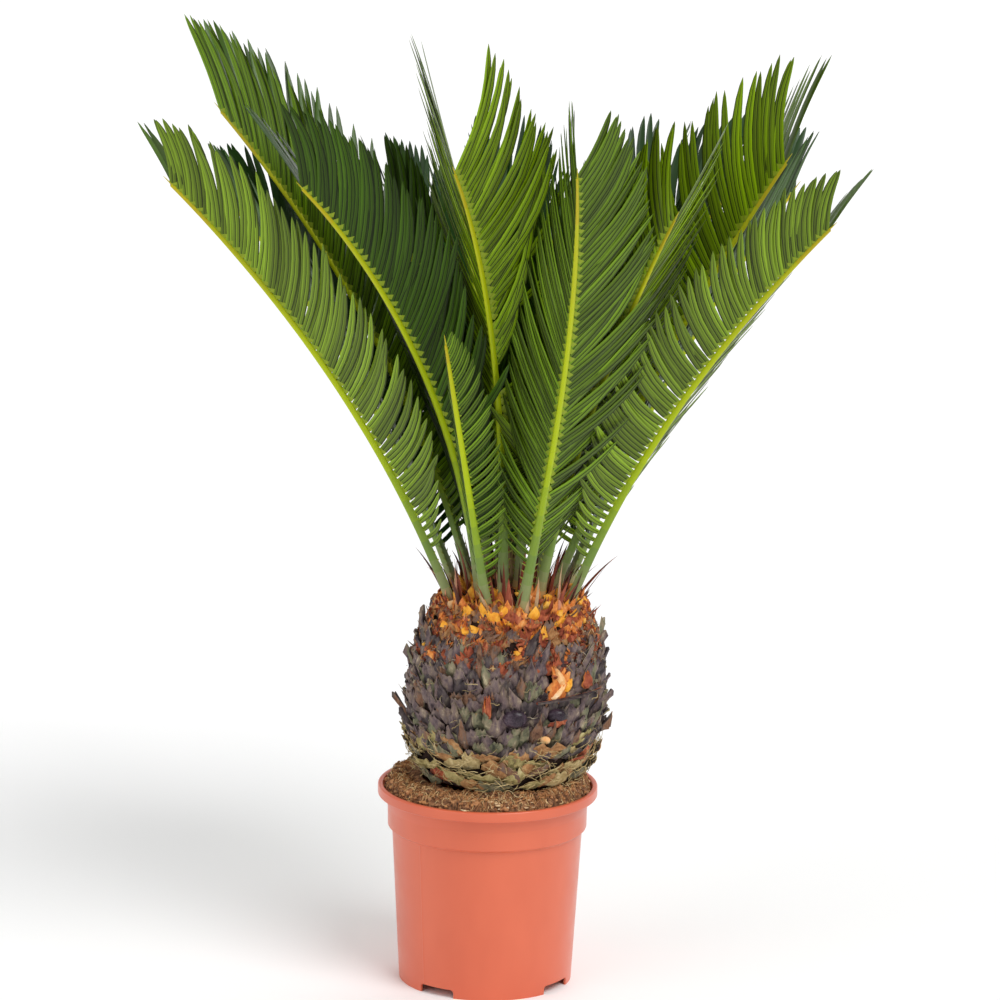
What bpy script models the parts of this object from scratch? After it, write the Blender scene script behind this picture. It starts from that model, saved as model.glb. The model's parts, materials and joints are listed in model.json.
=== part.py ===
"""A sago palm in a nursery pot: turned pot, soil mound, scaly trunk, crown spikes and twenty fronds.

Metres, +Z up. The origin is the centre of the pot's underside, and -Y is the front.
A bearing is an angle about the vertical, in degrees: 0 points to the front and 90 to +X.
A lean is an angle from the vertical, in degrees.
"""
import math
import random

import bmesh
import bpy
from mathutils import Matrix, Vector
from mathutils.bvhtree import BVHTree

GAP = 0.0003  # between pieces that rest on each other
SEED = 7

# Pot: a thin injection-moulded shell, standing on four feet and a pad under the middle of its floor.
POT_HEIGHT = 0.1735
RIM_RADIUS = 0.095
RIM_DEPTH = 0.009
RIM_ROUND = 0.0015
RIM_INNER_RADIUS = 0.0907
COLLAR_RADIUS = 0.0865
COLLAR_FOOT_Z = 0.137
STEP_DEPTH = 0.003
BODY_TOP_RADIUS = 0.0823
BASE_RADIUS = 0.0749
WALL = 0.0016
FLOOR_Z = 0.008
FLOOR_THICKNESS = 0.002
PAD_RADIUS = 0.020
POT_SEGMENTS = 48
NOTCH_BEARINGS = (-34, 56, 146, 236)
NOTCH_WIDTH = 0.034
NOTCH_HEIGHT = 0.0075
NOTCH_CORNER = 0.003
DRAIN_RADIUS = 0.006
DRAIN_AT_RADIUS = 0.055

# Soil: fills the pot and mounds up to a flat seat under the trunk.
SOIL_RIM_RADIUS = 0.0895
SOIL_RIM_Z = 0.1685
SOIL_SHOULDER_RADIUS = 0.0845
SOIL_SHOULDER_Z = 0.1795
SEAT_Z = 0.186
SEAT_RADIUS = 0.0745
SOIL_SEGMENTS = 32

# Trunk: a squat barrel of old leaf bases, which leans a little to +X.
TRUNK_FOOT_X = 0.0104
TRUNK_TOP_X = 0.018
TRUNK_FOOT_Z = SEAT_Z + GAP
TRUNK_FOOT_RADIUS = 0.071
BELLY_Z = 0.2475
BELLY_RADIUS = 0.083
SHOULDER_Z = 0.3377
SHOULDER_RADIUS = 0.062
SCALES_AROUND = 20
SCALE_ROWS = 13
SCALE_RELIEF = 0.0065
SCALE_SINK = 0.0015  # of the grooves between the scales, below the barrel's surface
SCALE_TIP_RISE = 0.003  # of a scale's point above the middle of its diamond
TERRACE_RISER = 0.001

# Crown tiers: (radius of the ring of feet, outer radius of the flat terrace, height of the terrace).
TIERS = {
    "low": (0.0500, SHOULDER_RADIUS, SHOULDER_Z),
    "mid": (0.0340, 0.0410, 0.3457),
    "top": (0.0175, 0.0260, 0.3517),
}

# Fronds: bearing of the foot, bearing and its turn towards the tip, lean at the foot and at the tip,
# roll about the rib, length of the rib, length of the last leaflets as a share of the longest, tier,
# share of the full length that the longest leaflets have, how far the leaflets rise into a V, and
# their angle to the rib halfway along it.
# Those that are placed first keep most of their leaflets.
FRONDS = (
    (-75, -75, 5, 23, 45, 15, 0.450, 0.55, "low", 0.86, 20, 46),
    (70, 68, -22, 23, 48, -10, 0.438, 0.70, "low", 0.72, 20, 54),
    (9, 30, -34, 20, 31, -28, 0.450, 0.62, "low", 0.86, 40, 42),
    (-12, -11, -5, 0, 49, -14, 0.448, 0.98, "mid", 1.12, 34, 40),
    (-23, -24, 5, 20, 25, -15, 0.270, 0.30, "low", 0.32, 40, 46),
    (-112, -114, 0, 18, 46, 16, 0.468, 0.68, "mid", 1.05, 56, 46),
    (82, 80, -8, 21, 33, -18, 0.430, 0.72, "mid", 1.10, 34, 54),
    (40, 37, -6, 18, 38, -12, 0.405, 0.80, "mid", 0.92, 30, 40),
    (-48, -48, 5, 9, 50, 12, 0.440, 0.75, "mid", 0.92, 40, 38),
    (118, 118, 8, 24, 46, -10, 0.410, 0.55, "low", 0.86, 30, 48),
    (158, 158, 5, 24, 50, 5, 0.365, 0.55, "low", 0.84, 30, 50),
    (-160, -160, -5, 24, 50, -5, 0.360, 0.55, "low", 0.84, 30, 50),
    (-118, -118, 5, 24, 46, 10, 0.390, 0.55, "low", 0.86, 30, 48),
    (138, 138, 6, 14, 40, 0, 0.360, 0.65, "mid", 0.88, 40, 46),
    (180, 180, 6, 16, 42, 0, 0.360, 0.65, "mid", 0.88, 40, 46),
    (-144, -144, 6, 12, 38, 0, 0.335, 0.65, "mid", 0.86, 40, 46),
    (-150, -150, -10, 4, 32, 0, 0.340, 0.65, "top", 0.86, 40, 44),
    (100, 100, 10, 10, 44, 0, 0.380, 0.65, "top", 0.90, 44, 44),
    (20, 20, 0, 4, 20, 0, 0.315, 0.65, "top", 0.84, 50, 42),
    (-80, -88, 0, 4, 27, 0, 0.335, 0.65, "top", 0.84, 50, 42),
)
ROLLED_BY = 0.25  # the share of the rib by which it has its whole roll
RIB_BASE_HALF_WIDTH = 0.0055
RIB_TIP_HALF_WIDTH = 0.0014
RIB_BASE_KEEL = 0.0060
RIB_TIP_KEEL = 0.0018
EDGE_HEIGHT = 0.0026  # of the strip along each side of a rib, which the leaflets stand on
FOOT_FLARE = 1.15
PETIOLE_SHARE = 0.11
PETIOLE_RINGS = 3
LEAFLET_PAIRS = 34
END_LEAFLET = 0.022

# Leaflets: they stand up on both sides of the rib in a V and point more and more forward towards its tip.
LEAFLET_LONGEST = 0.126
LEAFLET_FIRST_SHARE = 0.20
LEAFLET_FULL_FROM = 0.42  # the place along the blade where they reach their full length
LEAFLET_FOOT_ANGLE = 64
LEAFLET_TIP_ANGLE = 26
LEAFLET_TIP_RISE = 55
LEAFLET_JITTER = 2.0
# Where a leaflet would touch something, it is swung (forward, up) by these angles, and then shortened.
SWINGS = ((0, 0), (-8, 0), (8, 0), (0, 10), (0, -10), (-12, 12), (-12, -12), (12, 12), (-18, 0), (0, -24))
SHORTENINGS = (1.0, 0.8, 0.6, 0.42, 0.28)
CLEARANCE = 0.0005

# Cataphylls: stiff pointed scales that stand between the fronds' feet.
CATAPHYLLS = (
    # bearing, radius of the foot, lean, length, terrace
    (-97, 0.0560, 26, 0.050, "low"),
    (-50, 0.0560, 16, 0.034, "low"),
    (-2, 0.0560, 10, 0.036, "low"),
    (46, 0.0560, 16, 0.032, "low"),
    (94, 0.0560, 36, 0.052, "low"),
    (138, 0.0560, 18, 0.040, "low"),
    (179, 0.0560, 20, 0.038, "low"),
    (-139, 0.0560, 22, 0.040, "low"),
    (14, 0.0370, 6, 0.046, "mid"),
    (61, 0.0370, 10, 0.044, "mid"),
    (-80, 0.0370, 8, 0.046, "mid"),
    (110, 0.0370, 8, 0.044, "mid"),
)
CATAPHYLL_HALF_WIDTH = 0.0034
CATAPHYLL_HALF_DEPTH = 0.0018
CATAPHYLL_HOOK = 18  # how much further it leans at its tip
HEART_RADIUS = 0.0062
HEART_HEIGHT = 0.046

COLOURS = {
    # material: (red, green, blue, roughness)
    "terracotta_plastic": (0.70, 0.165, 0.090, 0.45),
    "peat": (0.155, 0.068, 0.038, 0.95),
    "trunk_scales": (0.075, 0.058, 0.052, 0.80),
    "cataphyll_brown": (0.300, 0.050, 0.025, 0.60),
    "frond_green": (0.075, 0.165, 0.022, 0.45),
}


def clear_scene():
    for old in list(bpy.data.objects):
        bpy.data.objects.remove(old, do_unlink=True)


def make_collection(name):
    collection = bpy.data.collections.new(name)
    bpy.context.scene.collection.children.link(collection)
    return collection


def make_material(name):
    red, green, blue, roughness = COLOURS[name]
    material = bpy.data.materials.new(name)
    material.use_nodes = True
    shader = material.node_tree.nodes["Principled BSDF"]
    shader.inputs["Base Color"].default_value = (red, green, blue, 1.0)
    shader.inputs["Roughness"].default_value = roughness
    shader.inputs["Metallic"].default_value = 0.0
    return material


def add_object(name, mesh, material, collection):
    part = bpy.data.objects.new(name, mesh)
    if material:
        mesh.materials.append(material)
    collection.objects.link(part)
    return part


def finish_mesh(bm, name, smooth_below=None):
    """Turns a closed bmesh into a mesh with its faces pointing out, and frees it."""
    if bm.calc_volume(signed=True) < 0:
        bmesh.ops.reverse_faces(bm, faces=bm.faces)
    mesh = bpy.data.meshes.new(name)
    bm.to_mesh(mesh)
    bm.free()
    if smooth_below:
        mesh.shade_smooth()
        mesh.set_sharp_from_angle(angle=math.radians(smooth_below))
    return mesh


def mix(start, end, share):
    return start + (end - start) * share


def heading(bearing):
    """The level unit vector at a bearing in degrees."""
    angle = math.radians(bearing)
    return Vector((math.sin(angle), -math.cos(angle), 0.0))


def along(bearing, lean):
    """The unit vector that leans from the vertical towards a bearing, both in degrees."""
    angle = math.radians(lean)
    return heading(bearing) * math.sin(angle) + Vector((0.0, 0.0, math.cos(angle)))


def loft(bm, rings):
    """Skins a list of rings of points with equal counts, and closes both ends.

    Returns its side faces, ring by ring, and its rows of corners.
    """
    rows = [[bm.verts.new(point) for point in ring] for ring in rings]
    count = len(rows[0])
    sides = []
    for low, high in zip(rows, rows[1:]):
        faces = []
        for i in range(count):
            j = (i + 1) % count
            faces.append(bm.faces.new((low[i], low[j], high[j], high[i])))
        sides.append(faces)
    bm.faces.new(rows[0][::-1])
    bm.faces.new(rows[-1])
    return sides, rows


# ---------------------------------------------------------------- pot and soil


def pot_profile():
    """(radius, height) down the outside, along the floor's underside, and back up the inside."""
    rim_foot = POT_HEIGHT - RIM_DEPTH
    inner_base = BASE_RADIUS - WALL
    inner_floor = FLOOR_Z + FLOOR_THICKNESS
    return (
        (RIM_INNER_RADIUS, POT_HEIGHT),
        (RIM_RADIUS - RIM_ROUND, POT_HEIGHT),
        (RIM_RADIUS, POT_HEIGHT - RIM_ROUND),
        (RIM_RADIUS, rim_foot),
        (COLLAR_RADIUS, rim_foot),
        (COLLAR_RADIUS, COLLAR_FOOT_Z),
        (BODY_TOP_RADIUS, COLLAR_FOOT_Z - STEP_DEPTH),
        (BASE_RADIUS, 0.0),
        (inner_base, 0.0),
        (inner_base, FLOOR_Z),
        (PAD_RADIUS, FLOOR_Z),
        (PAD_RADIUS, 0.0),
        (0.0, 0.0),
        (0.0, inner_floor),
        (inner_base, inner_floor),
        (BODY_TOP_RADIUS - WALL, COLLAR_FOOT_Z),
        (COLLAR_RADIUS - WALL, COLLAR_FOOT_Z + STEP_DEPTH),
        (COLLAR_RADIUS - WALL, rim_foot),
        (RIM_INNER_RADIUS, rim_foot + STEP_DEPTH),
        (RIM_INNER_RADIUS, POT_HEIGHT),
    )


def notch_cutter(bearing, cutters):
    """An arched bar across the foot ring, at one bearing."""
    bpy.ops.mesh.primitive_cube_add(size=1.0)
    cutter = bpy.context.object
    cutter.name = f"notch_cutter_{bearing}"
    cutter.data.transform(Matrix.Diagonal((NOTCH_WIDTH, 0.03, 2 * NOTCH_HEIGHT, 1.0)))
    move_to(cutter, cutters)
    cutter.rotation_euler = (0.0, 0.0, math.radians(bearing))
    cutter.location = heading(bearing) * BASE_RADIUS
    rounding = cutter.modifiers.new("corners", "BEVEL")
    rounding.width = NOTCH_CORNER
    rounding.segments = 2
    return cutter


def drain_cutter(bearing, cutters):
    bpy.ops.mesh.primitive_cylinder_add(radius=DRAIN_RADIUS, depth=3 * FLOOR_THICKNESS, vertices=12)
    cutter = bpy.context.object
    cutter.name = f"drain_cutter_{bearing}"
    move_to(cutter, cutters)
    cutter.location = heading(bearing) * DRAIN_AT_RADIUS + Vector((0.0, 0.0, FLOOR_Z + FLOOR_THICKNESS / 2))
    return cutter


def move_to(part, collection):
    for old in list(part.users_collection):
        old.objects.unlink(part)
    collection.objects.link(part)
    part.hide_render = True
    part.display_type = "WIRE"


def build_pot(material, collection, cutters):
    bm = bmesh.new()
    points = [bm.verts.new((radius, 0.0, height)) for radius, height in pot_profile()[:-1]]
    for first, second in zip(points, points[1:]):
        bm.edges.new((first, second))
    bm.edges.new((points[-1], points[0]))
    mesh = bpy.data.meshes.new("pot")
    bm.to_mesh(mesh)
    bm.free()
    pot = add_object("pot", mesh, material, collection)
    turn = pot.modifiers.new("turn", "SCREW")
    turn.steps = POT_SEGMENTS
    turn.render_steps = POT_SEGMENTS
    turn.use_merge_vertices = True
    turn.merge_threshold = 0.00001
    for bearing in NOTCH_BEARINGS:
        for make in (notch_cutter, drain_cutter):
            cut = pot.modifiers.new(make.__name__, "BOOLEAN")
            cut.operation = "DIFFERENCE"
            cut.object = make(bearing, cutters)
    return pot


def circle(centre_x, radius, height, count):
    steps = (2 * math.pi * i / count for i in range(count))
    return [Vector((centre_x + radius * math.cos(a), radius * math.sin(a), height)) for a in steps]


def build_soil(material, collection):
    """Circles from the pot's floor to the seat, whose centres move from the pot's axis to the trunk's."""
    wall_gap = WALL + GAP
    rim_foot = POT_HEIGHT - RIM_DEPTH
    rings = (
        (0.0, BASE_RADIUS - wall_gap, FLOOR_Z + FLOOR_THICKNESS + GAP),
        (0.0, BODY_TOP_RADIUS - wall_gap, COLLAR_FOOT_Z),
        (0.0, COLLAR_RADIUS - wall_gap, COLLAR_FOOT_Z + 2 * STEP_DEPTH),
        (0.0, COLLAR_RADIUS - wall_gap, rim_foot),
        (0.0, SOIL_RIM_RADIUS, SOIL_RIM_Z),
        (TRUNK_FOOT_X / 2, SOIL_SHOULDER_RADIUS - TRUNK_FOOT_X / 4, SOIL_SHOULDER_Z),
        (TRUNK_FOOT_X, SEAT_RADIUS, SEAT_Z),
    )
    bm = bmesh.new()
    loft(bm, [circle(*ring, SOIL_SEGMENTS) for ring in rings])
    return add_object("soil", finish_mesh(bm, "soil", 40), material, collection)


# ---------------------------------------------------------------- trunk


def trunk_x(height):
    share = (height - TRUNK_FOOT_Z) / (TIERS["top"][2] - TRUNK_FOOT_Z)
    return mix(TRUNK_FOOT_X, TRUNK_TOP_X, share)


def trunk_radius(height):
    """The barrel's radius, before the scales stand out of it."""
    if height < BELLY_Z:
        share = (BELLY_Z - height) / (BELLY_Z - TRUNK_FOOT_Z)
        return mix(BELLY_RADIUS, TRUNK_FOOT_RADIUS, share**2)
    share = (height - BELLY_Z) / (SHOULDER_Z - BELLY_Z)
    return mix(BELLY_RADIUS, SHOULDER_RADIUS, share**2.2)


def trunk_point(column, height, radius):
    return heading(360 * column / SCALES_AROUND) * radius + Vector((trunk_x(height), 0.0, height))


def scale_lattice(bm):
    """Rows of corners for diamonds that stand on their points, each half a step round from the last."""
    rows = []
    for row in range(SCALE_ROWS + 1):
        height = mix(TRUNK_FOOT_Z, SHOULDER_Z, row / SCALE_ROWS)
        sink = SCALE_SINK if 0 < row < SCALE_ROWS else 0.0
        columns = [i + 0.5 * (row % 2) for i in range(SCALES_AROUND)]
        rows.append([bm.verts.new(trunk_point(c, height, trunk_radius(height) - sink)) for c in columns])
    return rows


def build_trunk(material, collection):
    """A barrel of diamond scales, each drawn out to a point, under the terraces that carry the crown."""
    bm = bmesh.new()
    rows = scale_lattice(bm)
    for row in range(SCALE_ROWS):
        low, high = rows[row], rows[row + 1]
        shift = row % 2
        for i in range(SCALES_AROUND):
            corner = high[(i + shift) % SCALES_AROUND]
            if row == 0:
                bm.faces.new((low[i], low[(i + 1) % SCALES_AROUND], corner))
            if row == SCALE_ROWS - 1:
                bm.faces.new((corner, high[i - 1 + shift], low[i]))
                continue
            diamond = bm.faces.new((low[i], corner, rows[row + 2][i], high[i - 1 + shift]))
            height = corner.co.z + SCALE_TIP_RISE
            point = bmesh.ops.poke(bm, faces=[diamond])["verts"][0]
            point.co = trunk_point(i + 0.5 * shift, height, trunk_radius(height) + SCALE_RELIEF)
    bm.faces.new(rows[0][::-1])
    rim = rows[-1]
    below = TIERS["low"][2]
    for tier in ("mid", "top"):
        _, edge, height = TIERS[tier]
        for radius, level in ((edge + TERRACE_RISER, below), (edge, height)):
            columns = [i + 0.5 * (SCALE_ROWS % 2) for i in range(SCALES_AROUND)]
            ring = [heading(360 * c / SCALES_AROUND) * radius for c in columns]
            ring = [bm.verts.new(point + Vector((trunk_x(height), 0.0, level))) for point in ring]
            for i in range(SCALES_AROUND):
                j = (i + 1) % SCALES_AROUND
                bm.faces.new((rim[i], rim[j], ring[j], ring[i]))
            rim = ring
        below = height
    bm.faces.new(rim)
    return add_object("trunk", finish_mesh(bm, "trunk"), material, collection)


def foot_on_tier(bearing, tier, radius=None):
    ring_radius, _, height = TIERS[tier]
    centre = Vector((trunk_x(height), 0.0, height + GAP))
    return centre + heading(bearing) * (radius or ring_radius)


# ---------------------------------------------------------------- cataphylls and crown heart


def build_spike(name, foot, bearing, lean, length, half_width, half_depth, material, collection):
    """A pointed scale with a flat level foot, which hooks outwards towards its tip."""
    shares = (0.0, 0.35, 0.7, 1.0)
    widths = (1.0, 0.85, 0.5, 0.08)
    rings = []
    point = foot.copy()
    side = Vector((0.0, 0.0, 1.0)).cross(heading(bearing))
    for i, (share, width) in enumerate(zip(shares, widths)):
        direction = along(bearing, lean + CATAPHYLL_HOOK * share)
        if i:
            point = point + direction * length * (share - shares[i - 1])
        thick = heading(bearing) if i == 0 else side.cross(direction)
        corners = ((1, 0), (0.4, 1), (-0.4, 1), (-1, 0), (-0.4, -1), (0.4, -1))
        across = side * half_width * width
        through = thick * half_depth * width
        rings.append([point + across * a + through * b for a, b in corners])
    bm = bmesh.new()
    loft(bm, rings)
    return add_object(name, finish_mesh(bm, name), material, collection)


def build_cataphylls(material, collection):
    made = []
    for number, (bearing, radius, lean, length, tier) in enumerate(CATAPHYLLS, 1):
        foot = foot_on_tier(bearing, tier, radius)
        size = (CATAPHYLL_HALF_WIDTH, CATAPHYLL_HALF_DEPTH)
        name = f"cataphyll_{number:02d}"
        made.append(build_spike(name, foot, bearing, lean, length, *size, material, collection))
    return made


def build_heart(material, collection):
    """The woolly bud in the middle of the crown."""
    foot_z = TIERS["top"][2] + GAP
    rings = []
    for share, width in ((0.0, 0.85), (0.3, 1.0), (0.65, 0.7), (1.0, 0.08)):
        rings.append(circle(TRUNK_TOP_X, HEART_RADIUS * width, foot_z + HEART_HEIGHT * share, 8))
    bm = bmesh.new()
    loft(bm, rings)
    return add_object("crown_heart", finish_mesh(bm, "crown_heart"), material, collection)


# ---------------------------------------------------------------- fronds


class Rib:
    """The curve of one frond's rib, with a frame at each share of its length."""

    STEPS = 60

    def __init__(self, foot, bearing, turn, lean_foot, lean_tip, roll, length, last, tier, leaf, rise, spread):
        self.bearing, self.turn = bearing, turn
        self.lean_foot, self.lean_tip = lean_foot, lean_tip
        self.roll, self.length, self.last = roll, length, last
        self.leaf, self.rise, self.spread = leaf, rise, spread
        point = foot_on_tier(foot, tier)
        self.points = [point]
        for i in range(self.STEPS):
            point = point + self.tangent((i + 0.5) / self.STEPS) * (length / self.STEPS)
            self.points.append(point)

    def tangent(self, share):
        return along(self.bearing + self.turn * share, mix(self.lean_foot, self.lean_tip, share))

    def at(self, share):
        place = min(share, 1.0) * self.STEPS
        i = min(int(place), self.STEPS - 1)
        return self.points[i].lerp(self.points[i + 1], place - i)

    def frame(self, share):
        """Forward along the rib, to its side, and up out of its upper face."""
        forward = self.tangent(share)
        side = Vector((0.0, 0.0, 1.0)).cross(heading(self.bearing + self.turn * share))
        turned = Matrix.Rotation(math.radians(self.roll * min(1.0, share / ROLLED_BY)), 3, forward)
        side = turned @ side
        return forward, side, side.cross(forward) * -1.0


def rib_ring(rib, share, level_foot=False):
    """Five corners: the two ends of the flat top, the foot of each side strip, and the keel."""
    forward, side, up = rib.frame(share)
    half = mix(RIB_BASE_HALF_WIDTH, RIB_TIP_HALF_WIDTH, share ** 0.7)
    keel = mix(RIB_BASE_KEEL, RIB_TIP_KEEL, share ** 0.7)
    top = EDGE_HEIGHT / 2
    corners = ((half, top), (-half, top), (-half, -top), (0.0, -top - keel), (half, -top))
    centre = rib.at(share)
    if not level_foot:
        return [centre + side * a + up * b for a, b in corners]
    ring = []
    for a, b in corners:
        point = centre + (side * a + up * b) * FOOT_FLARE
        ring.append(point - forward * ((point.z - centre.z) / forward.z))
    return ring


def leaflet_share(blade, last):
    """How long a leaflet is, as a share of the longest, at a place from 0 to 1 along the blade."""
    if blade < LEAFLET_FULL_FROM:
        return mix(LEAFLET_FIRST_SHARE, 1.0, math.sin(math.pi / 2 * blade / LEAFLET_FULL_FROM) ** 0.8)
    rest = (blade - LEAFLET_FULL_FROM) / (1 - LEAFLET_FULL_FROM)
    return mix(1.0, last, rest**4)


def leaflet_way(rib, blade, hand, swing):
    """The direction of a leaflet. hand is 1 on the rib's left side and -1 on the other."""
    forward, side, up = rib.frame(mix(PETIOLE_SHARE, 1.0, blade))
    spread = LEAFLET_FOOT_ANGLE * (1 - blade) * (1 - 2 * blade) + LEAFLET_TIP_ANGLE * blade * (2 * blade - 1)
    angle = math.radians(spread + rib.spread * 4 * blade * (1 - blade) + swing[0])
    raised = math.radians(mix(rib.rise, LEAFLET_TIP_RISE, blade**3) + swing[1])
    out = side * (hand * math.cos(raised)) + up * math.sin(raised)
    return forward * math.cos(angle) + out * math.sin(angle)


def guard_tree(corners, tip):
    """A slightly swollen stand-in for one leaflet, for testing what it would touch."""
    centre = sum(corners, Vector()) / len(corners)
    way = (tip - centre).normalized()
    near = [corner + (corner - centre).normalized() * CLEARANCE + way * CLEARANCE for corner in corners]
    far = [tip + (corner - centre).normalized() * CLEARANCE + way * CLEARANCE for corner in corners]
    faces = [(i, (i + 1) % 4, 4 + (i + 1) % 4, 4 + i) for i in range(4)] + [(4, 5, 6, 7)]
    return BVHTree.FromPolygons(near + far, faces)


def mesh_tree(bm):
    bm.verts.index_update()
    return BVHTree.FromBMesh(bm)


def free_tip(rib, blade, hand, corners, obstacles, draw):
    """The tip of a leaflet that touches nothing, or None."""
    root = sum(corners, Vector()) / len(corners)
    length = LEAFLET_LONGEST * leaflet_share(blade, rib.last) * rib.leaf
    own = (draw.uniform(-LEAFLET_JITTER, LEAFLET_JITTER), draw.uniform(-LEAFLET_JITTER, LEAFLET_JITTER))
    for shortening in SHORTENINGS:
        for swing in SWINGS:
            way = leaflet_way(rib, blade, hand, (swing[0] + own[0], swing[1] + own[1]))
            tip = root + way * length * shortening
            guard = guard_tree(corners, tip)
            if not any(guard.overlap(obstacle) for obstacle in obstacles):
                return tip
    return None


class Frond:
    """A lofted rib whose side strips are drawn out into leaflets."""

    def __init__(self, number, row):
        self.name = f"frond_{number:02d}"
        self.rib = Rib(*row)
        self.draw = random.Random(SEED + number)
        self.bm = bmesh.new()
        shares = [PETIOLE_SHARE * i / PETIOLE_RINGS for i in range(PETIOLE_RINGS)]
        shares += [mix(PETIOLE_SHARE, 1.0, i / LEAFLET_PAIRS) for i in range(LEAFLET_PAIRS + 1)]
        rings = [rib_ring(self.rib, share, level_foot=share == 0.0) for share in shares]
        self.sides, rows = loft(self.bm, rings)
        end = bmesh.ops.poke(self.bm, faces=[self.bm.faces.get(rows[-1])])["verts"][0]
        end.co = end.co + self.rib.tangent(1.0) * END_LEAFLET
        self.tree = mesh_tree(self.bm)

    def grow(self, obstacles):
        """Draws the leaflets out, past whatever is there already."""
        for pair, faces in enumerate(self.sides[PETIOLE_RINGS:]):
            blade = (pair + 0.5) / LEAFLET_PAIRS
            for face, hand in ((faces[1], -1), (faces[4], 1)):
                corners = [vert.co.copy() for vert in face.verts]
                tip = free_tip(self.rib, blade, hand, corners, obstacles, self.draw)
                if tip is None:
                    continue
                centre = bmesh.ops.poke(self.bm, faces=[face])["verts"][0]
                centre.co = tip
        self.tree = mesh_tree(self.bm)


def build_fronds(solids, material, collection):
    """The ribs come first, so that no leaflet runs through one."""
    graph = bpy.context.evaluated_depsgraph_get()
    fixed = [BVHTree.FromObject(solid, graph) for solid in solids]
    fronds = [Frond(number, row) for number, row in enumerate(FRONDS, 1)]
    for frond in fronds:
        others = [other.tree for other in fronds if other is not frond]
        frond.grow(fixed + others)
    for frond in fronds:
        add_object(frond.name, finish_mesh(frond.bm, frond.name), material, collection)


def main():
    clear_scene()
    plant = make_collection("sago_palm")
    cutters = make_collection("cutters")
    materials = {name: make_material(name) for name in COLOURS}
    build_pot(materials["terracotta_plastic"], plant, cutters)
    build_soil(materials["peat"], plant)
    trunk = build_trunk(materials["trunk_scales"], plant)
    heart = build_heart(materials["cataphyll_brown"], plant)
    cataphylls = build_cataphylls(materials["cataphyll_brown"], plant)
    bpy.context.view_layer.update()
    build_fronds([trunk, heart, *cataphylls], materials["frond_green"], plant)


main()
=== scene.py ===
"""The looks of a potted sago palm: its leaflets, trunk scales, peat and pot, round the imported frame.

Bearings are in degrees about +Z, 0 towards the front (-Y) and 90 towards +X. Leans are from upright.
"""

import itertools
import json
import math
import random

import bpy
import numpy as np
from mathutils import Matrix, Vector
from mathutils.bvhtree import BVHTree

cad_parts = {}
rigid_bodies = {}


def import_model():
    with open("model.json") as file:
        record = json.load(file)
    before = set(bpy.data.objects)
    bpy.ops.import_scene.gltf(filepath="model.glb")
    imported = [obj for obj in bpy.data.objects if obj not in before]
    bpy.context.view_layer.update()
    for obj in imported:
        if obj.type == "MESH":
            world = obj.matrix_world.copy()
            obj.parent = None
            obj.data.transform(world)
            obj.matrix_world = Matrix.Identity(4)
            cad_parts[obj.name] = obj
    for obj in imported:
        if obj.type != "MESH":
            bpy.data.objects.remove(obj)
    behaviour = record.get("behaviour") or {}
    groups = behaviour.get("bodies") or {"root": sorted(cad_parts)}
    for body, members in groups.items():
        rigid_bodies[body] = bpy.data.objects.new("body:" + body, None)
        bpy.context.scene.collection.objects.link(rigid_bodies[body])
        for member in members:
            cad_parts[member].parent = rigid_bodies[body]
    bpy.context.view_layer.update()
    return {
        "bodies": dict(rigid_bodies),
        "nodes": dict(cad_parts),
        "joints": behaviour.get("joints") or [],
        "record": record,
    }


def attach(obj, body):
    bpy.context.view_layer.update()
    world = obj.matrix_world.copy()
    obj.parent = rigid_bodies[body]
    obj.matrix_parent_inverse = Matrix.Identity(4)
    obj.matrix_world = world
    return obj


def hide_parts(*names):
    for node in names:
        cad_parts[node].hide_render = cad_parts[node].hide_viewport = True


SEED = 7
GAP = 0.0003
UP = np.array([0.0, 0.0, 1.0])

# Pot, from the foot up. Its notches are the gaps between its four feet.
POT_HEIGHT = 0.1735
RIM_RADIUS = 0.095
RIM_DEPTH = 0.009
RIM_ROUND = 0.0015
RIM_INNER_RADIUS = 0.0907
COLLAR_RADIUS = 0.0865
COLLAR_FOOT_Z = 0.137
STEP_DEPTH = 0.003
BODY_TOP_RADIUS = 0.0823
BASE_RADIUS = 0.0749
WALL = 0.0016
FLOOR_Z = 0.008
FLOOR_THICKNESS = 0.002
PAD_RADIUS = 0.020
NOTCH_BEARINGS = (-34, 56, 146, 236)
NOTCH_WIDTH = 0.034
NOTCH_HEIGHT = 0.0075
NOTCH_CORNER = 0.003
NOTCH_REACH = 0.03  # how far up the wall the notches move its rows
DRAIN_RADIUS, DRAIN_RING, DRAIN_CORNERS = 0.006, 0.055, 24
DRAIN_BEARINGS = (135, -135, -45, 45)
WALL_SHARES = (0, 0.004, 0.03, 0.08, 0.2, 0.4, 0.6, 0.8)
AXIS_HOLE = 0.001  # turned shapes stop this short of the axis
POT_COLUMNS = 288
SEAM_BEARING, SEAM_SPREAD, SEAM_HEIGHT = -44, 0.25, 0.00025
SEAM_ROWS = 12  # of the outer wall, from the foot

# Peat: a mound in the pot with a level seat for the trunk.
SOIL_RIM_RADIUS, SOIL_RIM_Z = 0.0895, 0.1685
SOIL_SHOULDER_RADIUS, SOIL_SHOULDER_Z = 0.0845, 0.1795
SEAT_RADIUS, SEAT_Z = 0.0745, 0.186
RIDGE_RADIUS, RIDGE_WIDTH, RIDGE_HEIGHT = 0.0715, 0.0035, 0.0035  # peat heaped round the trunk
SOIL_ROWS, SOIL_COLUMNS = 34, 260
CRUMBS = 3600
ROOT_FIBRES, ROOT_STEPS = 2200, 9
ROOT_LENGTHS, ROOT_RADII = (0.004, 0.019), (0.00020, 0.00046)
CHIPS = 46
CHIP_BEARINGS = (-14, 7, 25, 96, 171, -101)  # where chips lie together

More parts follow.
